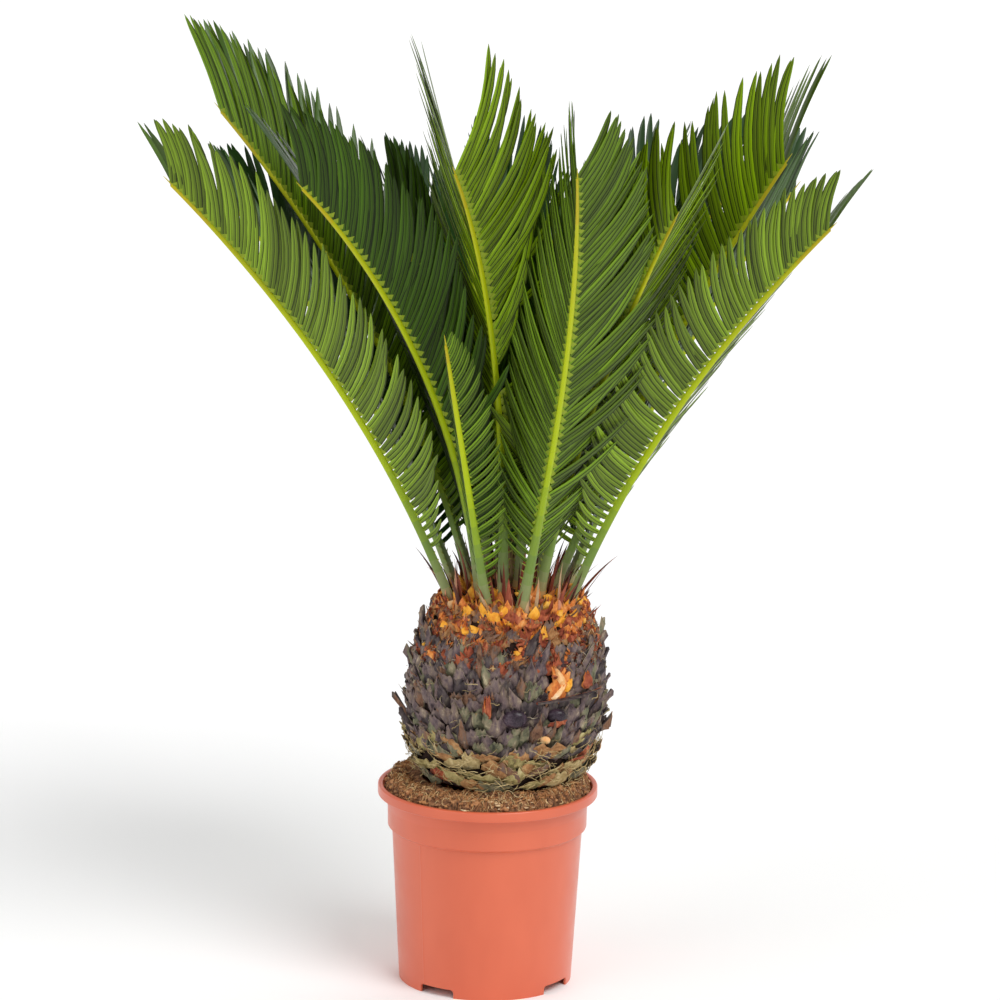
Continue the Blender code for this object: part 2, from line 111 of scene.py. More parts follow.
# Trunk: a squat barrel that leans a little to +X.
TRUNK_FOOT_X, TRUNK_TOP_X = 0.0104, 0.018
TRUNK_FOOT_Z, TRUNK_TOP_Z = 0.1863, 0.3517
TRUNK_FOOT_RADIUS = 0.071
BELLY_Z, BELLY_RADIUS = 0.2475, 0.083
SHOULDER_Z, SHOULDER_RADIUS = 0.3377, 0.062
CORE_INSET, CORE_COLUMNS = 0.004, 120
WOUND_BEARING, WOUND_Z = 34, 0.281
TORN_BASES, CROWN_BASES, THORNS = 640, 300, 120
TORN_LUMPS, FLESHY_LUMPS = 420, 330
BARK_FIBRES, BARK_FIBRE_STEPS = 620, 8
# Rounded buds: bearing, height, radius, and whether a torn rim stands below them.
KNOBS = ((5.9, 0.2537, 0.0105, False), (31, 0.2537, 0.0084, True), (25, 0.2334, 0.0045, False))

# Crown tiers: (radius of the ring of feet, outer radius of the flat terrace, height of the terrace).
TIERS = {
    "low": (0.0500, SHOULDER_RADIUS, SHOULDER_Z),
    "mid": (0.0340, 0.0410, 0.3457),
    "top": (0.0175, 0.0260, 0.3517),
}
HEART_RADIUS = 0.0062
HEART_HEIGHT = 0.046
# Places in rows: the rows, the places round each, and the first and last row's height, or lean.
LOWER_ROWS = (8, 17, 0.1866, 0.2230)
MIDDLE_ROWS = (13, 38, 0.2130, 0.2980)
HEART_ROWS = (5, 6, 4, -3)

# Cataphylls: bearing, ring radius, lean, length, tier.
CATAPHYLLS = (
    (-97, 0.056, 26, 0.050, "low"),
    (-50, 0.056, 16, 0.034, "low"),
    (-2, 0.056, 10, 0.036, "low"),
    (46, 0.056, 16, 0.032, "low"),
    (94, 0.056, 36, 0.052, "low"),
    (138, 0.056, 18, 0.040, "low"),
    (179, 0.056, 20, 0.038, "low"),
    (-139, 0.056, 22, 0.040, "low"),
    (14, 0.037, 6, 0.046, "mid"),
    (61, 0.037, 10, 0.044, "mid"),
    (-80, 0.037, 8, 0.046, "mid"),
    (110, 0.037, 8, 0.044, "mid"),
)
CATAPHYLL_HALF_WIDTH = 0.0034
CATAPHYLL_HALF_DEPTH = 0.0016
CATAPHYLL_HOOK = 18
SMALL_CATAPHYLLS = 120
# Scales in the crown: rings along each, and its corners across it in half widths and half depths.
RIBBON_RINGS = 11
RIBBON_BACK = ((-1, 0.2), (-0.5, 0.9), (0, 1.1), (0.5, 0.9))
RIBBON_CORNERS = (*RIBBON_BACK, (1, 0.2), (0.5, -0.3), (0, -0.5), (-0.5, -0.3))

# Fronds: bearing of the foot, bearing and its turn towards the tip, lean at the foot and at the tip,
# roll about the rib, length of the rib, length of the last leaflets as a share of the longest, tier,
# share of the full length that the longest leaflets have, how far the leaflets rise into a V,
# their angle to the rib halfway along it, and their tone.
FRONDS = (
    (-75, -75, 5, 23, 45, 15, 0.450, 0.55, "low", 0.86, 20, 46, "mature"),
    (70, 68, -22, 23, 48, -10, 0.438, 0.70, "low", 0.72, 20, 54, "mature"),
    (9, 30, -34, 20, 31, -28, 0.450, 0.62, "low", 0.86, 40, 42, "middle"),
    (-12, -11, -5, 0, 49, -14, 0.448, 0.98, "mid", 1.12, 34, 40, "young"),
    (-23, -24, 5, 20, 25, -15, 0.270, 0.30, "low", 0.32, 40, 46, "middle"),
    (-112, -114, 0, 18, 46, 16, 0.468, 0.68, "mid", 1.05, 56, 46, "fresh"),
    (82, 80, -8, 21, 33, -18, 0.430, 0.72, "mid", 1.10, 34, 54, "young"),
    (40, 37, -6, 18, 38, -12, 0.405, 0.80, "mid", 0.92, 30, 40, "young"),
    (-48, -48, 5, 9, 50, 12, 0.440, 0.75, "mid", 0.92, 40, 38, "shade"),
    (118, 118, 8, 24, 46, -10, 0.410, 0.55, "low", 0.86, 30, 48, "deep"),
    (158, 158, 5, 24, 50, 5, 0.365, 0.55, "low", 0.84, 30, 50, "mature"),
    (-160, -160, -5, 24, 50, -5, 0.360, 0.55, "low", 0.84, 30, 50, "mature"),
    (-118, -118, 5, 24, 46, 10, 0.390, 0.55, "low", 0.86, 30, 48, "deep"),
    (138, 138, 6, 14, 40, 0, 0.360, 0.65, "mid", 0.88, 40, 46, "deep"),
    (180, 180, 6, 16, 42, 0, 0.360, 0.65, "mid", 0.88, 40, 46, "deep"),
    (-144, -144, 6, 12, 38, 0, 0.335, 0.65, "mid", 0.86, 40, 46, "deep"),
    (-150, -150, -10, 4, 32, 0, 0.340, 0.65, "top", 0.86, 40, 44, "deep"),
    (100, 100, 10, 10, 44, 0, 0.380, 0.65, "top", 0.90, 44, 44, "deep"),
    (20, 20, 0, 4, 20, 0, 0.315, 0.65, "top", 0.84, 50, 42, "shade"),
    (-80, -88, 0, 4, 27, 0, 0.335, 0.65, "top", 0.84, 50, 42, "shade"),
)
ROLLED_BY = 0.25
FULL_RIB = 0.45
RIB_SHARES = (0.0, 0.05, 0.15, 0.3, 0.5, 0.8, 1.0)
RIB_HALF_WIDTHS = (0.0055, 0.0048, 0.0037, 0.0028, 0.0023, 0.0018, 0.0008)
RIB_KEELS = (0.0060, 0.0054, 0.0044, 0.0034, 0.0028, 0.0022, 0.0010)
RIB_EDGE = 0.0011
RIB_RINGS = 60
# Corners of a rib's ring: above in half widths and edges, and below as turns down from its side.
RIB_UPPER = ((0.96, 0.5), (0.6, 1.0), (0.0, 0.7), (-0.6, 1.0), (-0.96, 0.5))
RIB_LOWER = (12, 38, 64, 90, 116, 142, 168)
FOOT_FLARE = 1.3
PETIOLE_SHARE = 0.11
SPINE_PAIRS = 7
LEAFLET_PITCH = 0.0078
LEAFLET_LONGEST = 0.126
LEAFLET_FIRST_SHARE = 0.20
LEAFLET_FULL_FROM = 0.42
LEAFLET_FOOT_ANGLE, LEAFLET_TIP_ANGLE = 64, 26
LEAFLET_TIP_RISE = 55
LEAFLET_JITTER = 2.0
LEAFLET_HALF_WIDTH = 0.0038
LEAFLET_THICKNESS = 0.0006
LEAFLET_TWIST = -4
LEAFLET_BOW = 0.050
LEAFLET_HOOK = 0.035
SWINGS = ((0, 0), (-8, 0), (8, 0), (0, 10), (0, -10), (-12, 12), (-12, -12), (12, 12), (-18, 0), (0, -24))
SHORTENINGS = (1.0, 0.8, 0.6, 0.42, 0.28)
CLEARANCE = 0.0003

MOST_TRIANGLES = 190000  # in one joined piece

# Camera: the place, the lens and the sensor in millimetres, and the turns in degrees.
CAMERA_PLACE = (0.0, -4.5, 1.46)
CAMERA_LENS, SENSOR_WIDTH = 194.43, 36
CAMERA_YAW, CAMERA_PITCH, CAMERA_ROLL = 0.086, 12.958, 0.9

# Floor: a disc, then a cove that curves up by COVE_RISE degrees.
FLOOR_RADIUS, COVE_RADIUS, COVE_RISE = 10.0, 6.0, 55
COVE_STEPS, FLOOR_COLUMNS = 13, 120

# Light: the even light of the room, then suns by bearing, height, softness and strength.
WORLD_LIGHT = 0.46
SUNS = (
    ("key", 40, 50, 32, 1.65),
    ("fill", -50, 32, 45, 0.50),
    ("back", 165, 50, 40, 0.60),
)

# Colours as they look in daylight, red, green and blue from 0 to 255.
# The "shade" and "deep" tones are darker as painted shade, for the fronds that lie in the crown's shade and
# behind it.
LEAF_TONES = {
    "young": ((98, 124, 2), (78, 104, 2)),
    "fresh": ((84, 112, 10), (56, 86, 4)),
    "mature": ((100, 124, 30), (68, 96, 18)),
    "middle": ((84, 110, 20), (60, 90, 14)),
    "shade": ((50, 76, 6), (42, 70, 8)),
    "deep": ((50, 76, 26), (36, 66, 24)),
}
LEAF_TINTS = (0.84, 1.0, 1.14)
# Relief of dry surfaces: strength, depth, and stretch along Z.
BARK = (0.9, 0.0012, 0.45)
COARSE, FINE, FINER, FAINT = ((strength, 0.0006, 1) for strength in (0.9, 0.5, 0.4, 0.3))
FIBROUS, STREAKED, FAINTLY_STREAKED = ((strength, 0.0006, 0.2) for strength in (0.8, 0.5, 0.4))
# Dry surfaces: name, features a metre, roughness, relief and tones.
PEAT = (
    ("peat_dark", 260, 0.9, COARSE, (54, 34, 24), (124, 86, 60), (184, 138, 98)),
    ("peat_brown", 260, 0.9, COARSE, (114, 70, 44), (178, 124, 82), (214, 166, 118)),
    ("root_brown", 220, 0.8, FINE, (146, 92, 54), (184, 130, 82), (208, 162, 110)),
    ("root_tan", 220, 0.75, FINER, (186, 146, 92), (218, 186, 134), (236, 212, 168)),
    ("chip_cream", 240, 0.7, FINER, (176, 130, 84), (220, 190, 148), (240, 220, 188)),
)
CATAPHYLL_TONES = (
    ("cataphyll_brown", 160, 0.6, STREAKED, (92, 40, 28), (138, 64, 42), (174, 98, 66)),
    ("cataphyll_dark", 160, 0.6, STREAKED, (46, 22, 18), (84, 40, 28), (120, 62, 42)),
    ("cataphyll_pink", 160, 0.6, FAINTLY_STREAKED, (170, 100, 74), (206, 140, 108), (226, 172, 140)),
    ("cataphyll_tan", 160, 0.7, FAINTLY_STREAKED, (150, 116, 84), (184, 150, 112), (206, 178, 140)),
)
BUD_TONES = (
    ("bud_wool", 400, 0.95, FIBROUS, (150, 118, 76), (184, 152, 104), (206, 180, 136)),
    ("bud_brown", 400, 0.9, FIBROUS, (96, 58, 36), (132, 86, 54), (160, 114, 76)),
)
# Along a rib of full length: the share of the length, and the colour there.
RIB_STOPS = (
    (0.000, (206, 132, 66)),
    (0.012, (184, 150, 96)),
    (0.035, (140, 146, 100)),
    (0.110, (112, 138, 62)),
    (0.220, (140, 166, 34)),
    (0.340, (170, 190, 14)),
    (0.600, (180, 194, 14)),
    (0.850, (182, 184, 20)),
    (1.000, (186, 164, 30)),
)
RIB_STEPS, RIB_STEP_POWER = 18, 0.55
LEAFLET_FOOT_COLOUR = (138, 156, 36)


# ---------------------------------------------------------------- helpers


def mix(a, b, share):
    return a + (b - a) * share


def unit(vectors):
    return vectors / np.linalg.norm(vectors, axis=-1, keepdims=True)


def heading(bearing):
    """The level direction of a bearing in degrees, or of many."""
    turn = np.radians(np.asarray(bearing, float))
    return np.stack([np.sin(turn), -np.cos(turn), np.zeros_like(turn)], axis=-1)


def along(bearing, lean):
    """The direction that leans from upright towards a bearing."""
    tilt = np.radians(np.asarray(lean, float))[..., None]
    return heading(bearing) * np.sin(tilt) + UP * np.cos(tilt)


def colour(rgb, strength=1.0):
    """A colour as it looks, as the linear values that a shader takes."""
    shares = [min(1.0, strength * value / 255) for value in rgb]
    return (*[s / 12.92 if s <= 0.04045 else ((s + 0.055) / 1.055) ** 2.4 for s in shares], 1.0)


def trunk_x(height):
    return mix(TRUNK_FOOT_X, TRUNK_TOP_X, (height - TRUNK_FOOT_Z) / (TRUNK_TOP_Z - TRUNK_FOOT_Z))


def trunk_radius(height):
    """The barrel's radius at a height, or at many."""
    below = np.clip((BELLY_Z - height) / (BELLY_Z - TRUNK_FOOT_Z), 0, 1)
    above = np.clip((height - BELLY_Z) / (SHOULDER_Z - BELLY_Z), 0, 1.1)
    low = mix(BELLY_RADIUS, TRUNK_FOOT_RADIUS, below**2)
    high = mix(BELLY_RADIUS, SHOULDER_RADIUS, above**2.2)
    return np.where(height < BELLY_Z, low, high)


def round_trunk(bearing, height, radius):
    """Places at a distance from the trunk's leaning axis, at a bearing and a height."""
    height, radius = np.asarray(height, float), np.asarray(radius, float)
    return heading(bearing) * radius[..., None] + np.stack([trunk_x(height), 0 * height, height], axis=-1)


def even_turns(count):
    """Angles evenly round a circle, in radians."""
    return np.arange(count) * 2 * math.pi / count


def even_bearings(count):
    return np.arange(count) * 360 / count


def across_from(a, b):
    """How far bearing a is from bearing b, from -180 to 180."""
    return (a - b + 180) % 360 - 180


def new_object(name, data):
    made = bpy.data.objects.new(name, data)
    bpy.context.scene.collection.objects.link(made)
    return made


def fan(corners):
    """Triangles from the first corner of a ring to the others."""
    return np.array([(0, c + 1, c, -1) for c in range(1, corners - 1)])


def copies(faces, count, size):
    """The faces of many alike shapes in a row, with so many points each."""
    shift = (np.arange(count) * size)[:, None, None]
    return np.where(faces[None] < 0, -1, faces[None] + shift).reshape(-1, 4)


class Pile:
    """Shapes gathered into one mesh: points, faces of three or four corners, and a slot for each face."""

    def __init__(self):
        self.points, self.faces, self.slots = [], [], []
        self.size = 0
        self.triangles = 0

    def add(self, points, faces, slots=0):
        """faces is (n, 4), with -1 for the fourth corner of a triangle. slots is one number, or n."""
        points = np.asarray(points, float).reshape(-1, 3)
        faces = np.asarray(faces, int).reshape(-1, 4)
        self.points.append(points)
        self.faces.append(np.where(faces < 0, -1, faces + self.size))
        self.slots.append(np.broadcast_to(np.asarray(slots, int), len(faces)))
        self.size += len(points)
        self.triangles += len(faces) + int((faces[:, 3] >= 0).sum())

    def add_skin(self, rings, inward=False, close_start=False, slots=0):
        """A sheet of rings, (rings, corners, 3), closed round but open at its far end."""
        faces, _ = skin_faces(*rings.shape[:2], close_start, False)
        self.add(rings, faces[:, ::-1] if inward else faces, slots)

    def add_tubes(self, tubes, slots=0, face_slots=None):
        """Alike tubes, (tubes, rings, corners, 3), closed at both ends, with one slot or one for each."""
        tubes = np.array(tubes)
        count, length, corners = tubes.shape[:3]
        faces, _ = skin_faces(length, corners)
        if face_slots is None:
            face_slots = np.repeat(np.broadcast_to(np.asarray(slots), count), len(faces))
        self.add(tubes, copies(faces, count, length * corners), face_slots)

    def piece(self, name, materials, slot, sharp, nodes):
        """The pile as one object that rides on the plant."""
        points = np.concatenate(self.points)
        faces = np.concatenate(self.faces)
        corners = faces >= 0
        counts = corners.sum(axis=1)
        mesh = bpy.data.meshes.new(name)
        mesh.vertices.add(len(points))
        mesh.vertices.foreach_set("co", points.astype(np.float32).ravel())
        mesh.loops.add(int(counts.sum()))
        mesh.loops.foreach_set("vertex_index", faces[corners].astype(np.int32))
        mesh.polygons.add(len(faces))
        starts = np.concatenate([[0], np.cumsum(counts)[:-1]])
        mesh.polygons.foreach_set("loop_start", starts.astype(np.int32))
        for material in materials:
            mesh.materials.append(material)
        mesh.polygons.foreach_set("material_index", np.concatenate(self.slots).astype(np.int32))
        mesh.update(calc_edges=True)
        mesh.validate()
        mesh.shade_smooth()
        mesh.set_sharp_from_angle(angle=math.radians(sharp))
        made = new_object(name, mesh)
        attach(made, "root")
        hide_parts(*nodes)


def skin_faces(rings, corners, close_start=True, close_end=True):
    """The faces of one tube of rings, with fans at its ends, and the ring that each face starts from."""
    i = np.arange(rings - 1)[:, None] * corners
    j = np.arange(corners)[None, :]
    k = (j + 1) % corners
    sides = np.stack([i + j, i + k, i + corners + k, i + corners + j], axis=-1).reshape(-1, 4)
    ring_of = np.repeat(np.arange(rings - 1), corners)
    end = fan(corners)
    last = (rings - 1) * corners
    parts, places = [sides], [ring_of]
    if close_start:
        parts.append(end)
        places.append(np.zeros(len(end), int))
    if close_end:
        parts.append(np.where(end < 0, -1, end + last)[:, [0, 2, 1, 3]])
        places.append(np.full(len(end), rings - 2))
    return np.concatenate(parts), np.concatenate(places)


def frames_along(paths):
    """Two directions across each path at each point, for paths (n, points, 3)."""
    ways = unit(np.gradient(paths, axis=1))
    guide = np.where(np.abs(ways[..., 2:3]) < 0.9, [[[0.0, 0.0, 1.0]]], [[[1.0, 0.0, 0.0]]])
    across = unit(np.cross(ways, guide))
    return across, np.cross(ways, across)


def add_threads(pile, paths, radii, slots=0, sides=4):
    """Round threads along many paths. radii is (n, points)."""
    across, over = frames_along(paths)
    turns = even_turns(sides)
    ring = across[:, :, None] * np.cos(turns)[:, None] + over[:, :, None] * np.sin(turns)[:, None]
    pile.add_tubes(paths[:, :, None] + ring * radii[:, :, None, None], slots)


# ---------------------------------------------------------------- materials


def fill_inputs(node, values):
    for name, value in values.items():
        node.inputs[name].default_value = value


def link_bump(tree, shader, height, strength, distance):
    bump = tree.nodes.new("ShaderNodeBump")
    fill_inputs(bump, {"Strength": strength, "Distance": distance})
    tree.links.new(height, bump.inputs["Height"])
    tree.links.new(bump.outputs["Normal"], shader.inputs["Normal"])


def noise(tree, scale, detail=4.0, stretch=(1, 1, 1), rough=0.55):
    """A noise in the object's own coordinates, in features a metre."""
    place = tree.nodes.new("ShaderNodeTexCoord")
    scaling = tree.nodes.new("ShaderNodeMapping")
    fill_inputs(scaling, {"Scale": stretch})
    texture = tree.nodes.new("ShaderNodeTexNoise")
    fill_inputs(texture, {"Scale": scale, "Detail": detail, "Roughness": rough})
    tree.links.new(place.outputs["Object"], scaling.inputs["Vector"])
    tree.links.new(scaling.outputs["Vector"], texture.inputs["Vector"])
    return texture.outputs["Fac"]


def ramp(tree, factor, stops):
    """stops is pairs of a place and a colour, or of a place and one value."""
    node = tree.nodes.new("ShaderNodeValToRGB")
    while len(node.color_ramp.elements) < len(stops):
        node.color_ramp.elements.new(1.0)
    for element, (place, value) in zip(node.color_ramp.elements, stops):
        element.position = place
        element.color = value if hasattr(value, "__len__") else (value, value, value, 1.0)
    tree.links.new(factor, node.inputs["Fac"])
    return node.outputs["Color"]


def new_material(name, base, roughness):
    material = bpy.data.materials.new(name)
    material.use_nodes = True
    tree = material.node_tree
    shader = tree.nodes["Principled BSDF"]
    fill_inputs(shader, {"Base Color": base, "Roughness": roughness})
    material.diffuse_color = base
    return material, tree, shader


def leaf_material(name, base, roughness, coat=0.0):
    """A plain leaf colour under a waxy skin, with fine veins in its relief and its gloss."""
    material, tree, shader = new_material(name, base, roughness)
    fill_inputs(shader, {"Specular IOR Level": 0.2, "Coat Weight": coat, "Coat Roughness": 0.22})
    grain = noise(tree, 900, 3.0, (1, 1, 0.25))
    gloss = ramp(tree, grain, ((0.3, roughness - 0.07), (0.7, roughness + 0.08)))
    tree.links.new(gloss, shader.inputs["Roughness"])
    link_bump(tree, shader, grain, 0.25, 0.0002)
    return material


def mottled_material(name, scale, roughness, relief, *tones):
    """A dry surface whose colour wanders between tones, with grain in its relief.

    scale is in features a metre, and relief is the grain's strength, depth and stretch along Z.
    """
    strength, depth, rise = relief
    stretch = (1, 1, rise)
    material, tree, shader = new_material(name, colour(tones[1]), roughness)
    fill_inputs(shader, {"Specular IOR Level": 0.3})
    patches = noise(tree, scale, 6.0, stretch, 0.62)
    stops = [(mix(0.28, 0.72, i / (len(tones) - 1)), colour(tone)) for i, tone in enumerate(tones)]
    tree.links.new(ramp(tree, patches, stops), shader.inputs["Base Color"])
    grain = noise(tree, 4 * scale, 8.0, stretch, 0.7)
    gloss = ramp(tree, grain, ((0.3, roughness - 0.12), (0.7, roughness + 0.1)))
    tree.links.new(gloss, shader.inputs["Roughness"])
    link_bump(tree, shader, grain, strength, depth)
    return material


def pot_material():
    """Moulded terracotta-coloured plastic: even, satin, with a faint orange-peel skin."""
    material, tree, shader = new_material("terracotta_plastic", colour((212, 108, 80)), 0.42)
    fill_inputs(shader, {"Specular IOR Level": 0.5, "Coat Weight": 0.22, "Coat Roughness": 0.18})
    clouds = noise(tree, 14, 3.0, (1, 1, 0.5))
    tones = ramp(tree, clouds, ((0.3, colour((208, 96, 64))), (0.7, colour((220, 106, 72)))))
    tree.links.new(tones, shader.inputs["Base Color"])
    skin = noise(tree, 1400, 2.0)
    gloss = ramp(tree, noise(tree, 60, 4.0), ((0.3, 0.30), (0.7, 0.40)))
    tree.links.new(gloss, shader.inputs["Roughness"])
    link_bump(tree, shader, skin, 0.12, 0.0001)
    return material


# ---------------------------------------------------------------- pot


def notch_rise(bearings):
    """How high the pot's lower edge stands at each bearing."""
    rise = np.zeros(len(bearings))
    for middle in NOTCH_BEARINGS:
        inside = NOTCH_WIDTH / 2 - np.radians(np.abs(across_from(bearings, middle))) * BASE_RADIUS
        corner = np.clip(NOTCH_CORNER - inside, 0, NOTCH_CORNER)
        arch = NOTCH_HEIGHT - NOTCH_CORNER + np.sqrt(NOTCH_CORNER**2 - corner**2)
        rise = np.where(inside > 0, arch, rise)
    return rise


def pot_bearings():
    """Even columns, with more at the notches' sides and on both sides of the seam."""
    bearings = list(even_bearings(POT_COLUMNS) - 180)
    half = math.degrees(NOTCH_WIDTH / 2 / BASE_RADIUS)
    corner = math.degrees(NOTCH_CORNER / BASE_RADIUS)
    for middle in NOTCH_BEARINGS:
        for side in (-1, 1):
            for inward in (-0.03, 0.03, 0.15 * corner, 0.35 * corner, 0.65 * corner, corner):
                bearings.append(across_from(middle + side * (half - inward), 0))
    bearings += [SEAM_BEARING + off for off in (-0.35, 0.0, 0.35)]
    return np.unique(np.round(bearings, 4))


def rounded(start, corner, end, radius, steps=4):
    """The points of a fillet of a profile's corner, as radius and height."""
    start, corner, end = np.array(start), np.array(corner), np.array(end)
    back, on = unit(start - corner), unit(end - corner)
    half = 0.5 * math.acos(float(np.clip(back @ on, -1, 1)))
    reach = radius / math.tan(half)
    centre = corner + unit(back + on) * radius / math.sin(half)
    first, last = corner + back * reach - centre, corner + on * reach - centre
    sweep = math.acos(float(np.clip(unit(first) @ unit(last), -1, 1)))
    shares = np.arange(steps + 1)[:, None] / steps
    points = first * np.sin((1 - shares) * sweep) + last * np.sin(shares * sweep)
    return list(centre + points / math.sin(sweep))


def pot_profile():
    """Radius and height from the outer foot up over the rim and down inside to the floor's middle."""
    lip_z, floor_top = POT_HEIGHT - RIM_DEPTH, FLOOR_Z + FLOOR_THICKNESS
    corners = (
        (BASE_RADIUS, 0.0),
        (BODY_TOP_RADIUS, COLLAR_FOOT_Z - STEP_DEPTH),
        (COLLAR_RADIUS - 0.0004, COLLAR_FOOT_Z),
        (COLLAR_RADIUS, lip_z),
        (RIM_RADIUS, lip_z),
        (RIM_RADIUS, POT_HEIGHT),
        (RIM_INNER_RADIUS, POT_HEIGHT),
        (BODY_TOP_RADIUS - WALL, COLLAR_FOOT_Z - 0.010),
    )
    # The radius of each corner's fillet, and its steps.
    fillets = ((0.0012, 4), (0.0012, 4), (0.0010, 4), (0.0012, 4), (RIM_ROUND, 6), (RIM_ROUND, 6))
    foot, step = np.array(corners[:2])
    outline = [mix(foot, step, share) for share in WALL_SHARES]
    for i, (radius, steps) in enumerate(fillets):
        outline += rounded(*corners[i : i + 3], radius, steps)
    outline += [corners[-1], (BASE_RADIUS - WALL + 0.0008, floor_top), (AXIS_HOLE, floor_top)]
    return np.array(outline)


def turned(profile, bearings, rise):
    """Rings of a turned shape whose rows below NOTCH_REACH follow the notches."""
    radius, low = profile[:, :1], profile[:, 1:]
    z = low + np.clip(1 - low / NOTCH_REACH, 0, 1) * rise
    taper = (BODY_TOP_RADIUS - BASE_RADIUS) / COLLAR_FOOT_Z
    radius = radius + np.where(low < NOTCH_REACH, (z - low) * taper, 0)
    return heading(bearings) * radius[..., None] + np.stack([0 * z, 0 * z, z], axis=-1)


def underside(bearings, rise):
    """Rings from the wall's inner foot up to the floor and down over the middle pad."""
    inner = BASE_RADIUS - WALL
    profile = (
        (inner, 0.0),
        (inner, 0.004),
        (inner, FLOOR_Z),
        (PAD_RADIUS + 0.001, FLOOR_Z),
        (PAD_RADIUS, 0.0004),
        (PAD_RADIUS - 0.0006, 0.0),
        (AXIS_HOLE, 0.0),
    )
    rings = turned(np.array(profile), bearings, 0 * rise)
    rings[:2, :, 2] = np.maximum(rings[:2, :, 2], np.minimum(rise, FLOOR_Z))
    return rings


def add_drain_hole(pile, bearing):
    """A dark disc just under the pot's floor, painted shade standing for the opening of a drain hole."""
    turns = even_turns(DRAIN_CORNERS)
    disc = np.stack([np.cos(turns), np.sin(turns), 0 * turns], axis=-1) * DRAIN_RADIUS
    centre = heading(bearing) * DRAIN_RING + (FLOOR_Z - 0.0002) * UP
    pile.add(disc + centre, fan(DRAIN_CORNERS), 1)


def build_pot():
    pile = Pile()
    bearings = pot_bearings()
    rise = notch_rise(bearings)
    outer = pot_profile()
    rings = turned(outer, bearings, rise)
    seam = np.exp(-(((bearings - SEAM_BEARING) / SEAM_SPREAD) ** 2)) * SEAM_HEIGHT
    on_body = (outer[:, 1] < COLLAR_FOOT_Z - STEP_DEPTH) & (np.arange(len(outer)) < SEAM_ROWS)
    rings = rings + heading(bearings) * (seam * on_body[:, None])[..., None]
    low = underside(bearings, rise)
    pile.add_skin(rings)
    pile.add_skin(low, inward=True)
    pile.add_skin(np.stack([rings[0], low[0]]), inward=True)
    for bearing in DRAIN_BEARINGS:
        add_drain_hole(pile, bearing)
    # The drain holes are dark discs of painted shade.
    hole_shade = mottled_material("drain_hole_painted_shade", 200, 0.9, FAINT, (20, 12, 9), (34, 22, 16))
    pile.piece("pot_shell", [pot_material(), hole_shade], "pot", 40, ["pot"])


# ---------------------------------------------------------------- peat


def soil_height(x, y):
    """The height of the mound at a place, before its crumbs."""
    places = (0, SOIL_SHOULDER_RADIUS, SOIL_RIM_RADIUS, 0.1)
    edge = np.interp(np.hypot(x, y), places, (SEAT_Z, SOIL_SHOULDER_Z, SOIL_RIM_Z, SOIL_RIM_Z))
    inner = np.clip((np.hypot(x - TRUNK_FOOT_X, y) - SEAT_RADIUS) / 0.010, 0, 1)
    return np.minimum(edge, mix(SEAT_Z, SOIL_SHOULDER_Z, inner) + 0.0005)


def waves(x, y, draw, count, size, height):
    """A seeded sum of waves, for the unevenness of a surface."""
    total = np.zeros_like(x)
    for _ in range(count):
        turn, phase = draw.uniform(0, 2 * math.pi), draw.uniform(0, 2 * math.pi)
        step = size * draw.uniform(0.6, 1.6)
        total += np.sin((x * math.cos(turn) + y * math.sin(turn)) * 2 * math.pi / step + phase)
    return total * height / math.sqrt(count)


def soil_top(x, y):
    draw = random.Random(SEED + 50)
    rough = waves(x, y, draw, 14, 0.016, 0.0013) + waves(x, y, draw, 20, 0.005, 0.00075)
    fade = np.clip((SOIL_RIM_RADIUS - np.hypot(x, y)) / 0.004, 0, 1)
    from_ridge = (np.hypot(x - TRUNK_FOOT_X, y) - RIDGE_RADIUS) / RIDGE_WIDTH
    ridge = RIDGE_HEIGHT * np.exp(-(from_ridge**2))
    return soil_height(x, y) + (rough + ridge) * fade - 0.0008


def ring_places(draw, count, inner, outer):
    """Seeded places on a ring round the pot's axis."""
    bearings = np.array([draw.uniform(-180, 180) for _ in range(count)])
    radii = np.sqrt([draw.uniform(inner**2, outer**2) for _ in range(count)])
    places = heading(bearings) * radii[:, None]
    return places[:, 0], places[:, 1]


def lump_shape():
    """The points and faces of a small twelve-cornered lump."""
    golden = (1 + math.sqrt(5)) / 2
    corners = []
    for a in (-1, 1):
        for b in (-golden, golden):
            corners += [(0, a, b), (a, b, 0), (b, 0, a)]
    corners = unit(np.array(corners, float))
    faces = []
    for i, j, k in itertools.combinations(range(len(corners)), 3):
        a, b, c = corners[[i, j, k]]
        if max(np.linalg.norm(a - b), np.linalg.norm(b - c), np.linalg.norm(c - a)) < 1.1:
            outward = np.cross(b - a, c - a) @ a > 0
            faces.append((i, j, k, -1) if outward else (i, k, j, -1))
    return corners, np.array(faces)


def add_lumps(pile, centres, sizes, draw, slots, flat=0.7):
    """Lumps with seeded corners. flat is their height as a share of their width."""
    corners, faces = lump_shape()
    seeded = np.random.default_rng(draw.randrange(10**6))
    count = len(centres)
    shape = corners * seeded.uniform(0.65, 1.25, (count, len(corners), 1))
    stretch = seeded.uniform(0.6, 1.3, (count, 1, 3)) * np.array([1, 1, flat])
    points = centres[:, None] + shape * stretch * sizes[:, None, None]
    pile.add(points, copies(faces, count, len(corners)), np.repeat(slots, len(faces)))


